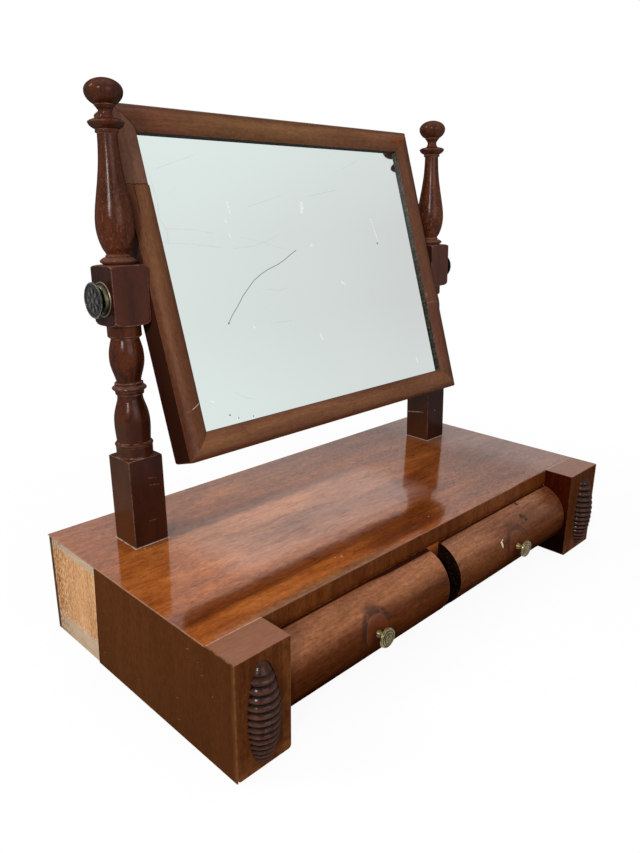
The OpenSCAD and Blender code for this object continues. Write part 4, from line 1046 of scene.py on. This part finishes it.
def stage_material():
    """A matt floor, white to the camera and in reflections, with a soft shadow left round the object."""
    g = Graph("pale_floor")
    seen = g.seen()
    g.color = g.mix(seen, rgb(150, 148, 146), rgb(240, 240, 240))
    grain = g.noise(g.point, 60.0, 3)
    g.lay((200, 200, 200), grain, 0.04)
    g.finish(g.spread(grain, 0.3, 0.7, 0.85, 0.95), specular=0.0)
    glow = g.add("ShaderNodeEmission", Color=(1, 1, 1, 1), Strength=1.0)
    blend = g.add("ShaderNodeMixShader")
    far = g.spread(g.vec("LENGTH", g.point), 0.3, 0.9, 0.93, 1.0, smooth=True)
    g.put(blend.inputs[0], g.times(seen, far))
    g.put(blend.inputs[1], g.bsdf.outputs[0])
    g.put(blend.inputs[2], glow.outputs[0])
    g.put(g.out.inputs["Surface"], blend.outputs[0])
    return g.mat


def build_floor():
    mesh = bpy.data.meshes.new("floor")
    bm = bmesh.new()
    bmesh.ops.create_grid(bm, x_segments=2, y_segments=2, size=12.0)
    bm.to_mesh(mesh)
    bm.free()
    obj = bpy.data.objects.new("floor", mesh)
    obj.location = (0, 0, -0.0004)
    scene.collection.objects.link(obj)
    obj.data.materials.append(stage_material())


WORLD_LEVEL = 0.42


def build_world():
    """Plain grey light, white to the camera and in reflections."""
    world = bpy.data.worlds.new("studio")
    scene.world = world
    world.use_nodes = True
    g = Nodes(world.node_tree)
    level = g.spread(g.seen(), 0.0, 1.0, WORLD_LEVEL, 1.0)
    back = g.add("ShaderNodeBackground", Color=(1, 1, 1, 1), Strength=level)
    out = g.add("ShaderNodeOutputWorld")
    g.put(out.inputs["Surface"], back.outputs[0])


def lamp(name, direction, distance, size, level):
    """A rectangular lamp that gives a facing white card at the object the level, of 1 for white."""
    light = bpy.data.lights.new(name, "AREA")
    light.shape = "RECTANGLE"
    light.size, light.size_y = size
    light.energy = (math.pi * distance) ** 2 * level
    obj = bpy.data.objects.new(name, light)
    middle = Vector((0.0, 0.0, 0.2))
    obj.location = middle + Vector(direction).normalized() * distance
    obj.rotation_euler = (middle - obj.location).to_track_quat("-Z", "Y").to_euler()
    scene.collection.objects.link(obj)


build_floor()
build_world()
lamp("window", (-0.76, -0.42, 0.39), 2.6, (0.35, 0.5), 0.50)
lamp("far_window", (-0.64, 0.38, 0.63), 2.5, (0.5, 0.7), 0.32)
lamp("ceiling", (0, 0, 1), 1.8, (1.6, 1.6), 0.25)
lamp("room", (-0.1, -0.95, 0.3), 2.4, (1.4, 1.0), 0.28)

# Camera at the photograph's viewing angle

def build_camera():
    pitch, yaw, roll = -0.31192, 0.78924, 0.00794
    ahead = Vector((math.sin(yaw) * math.cos(pitch), math.cos(yaw) * math.cos(pitch), math.sin(pitch)))
    right = ahead.cross(Vector((0, 0, 1))).normalized()
    up = right.cross(ahead)
    side = right * math.cos(roll) + up * math.sin(roll)
    head = up * math.cos(roll) - right * math.sin(roll)
    data = bpy.data.cameras.new("camera")
    data.sensor_fit = "AUTO"
    data.sensor_width = 36
    data.lens = 29.957
    cam = bpy.data.objects.new("camera", data)
    turn = Matrix((side, head, -ahead)).transposed().to_4x4()
    turn.translation = Vector((-0.53089, -0.47118, 0.40677))
    cam.matrix_world = turn
    scene.collection.objects.link(cam)
    scene.camera = cam


build_camera()
scene.view_settings.view_transform = "Standard"
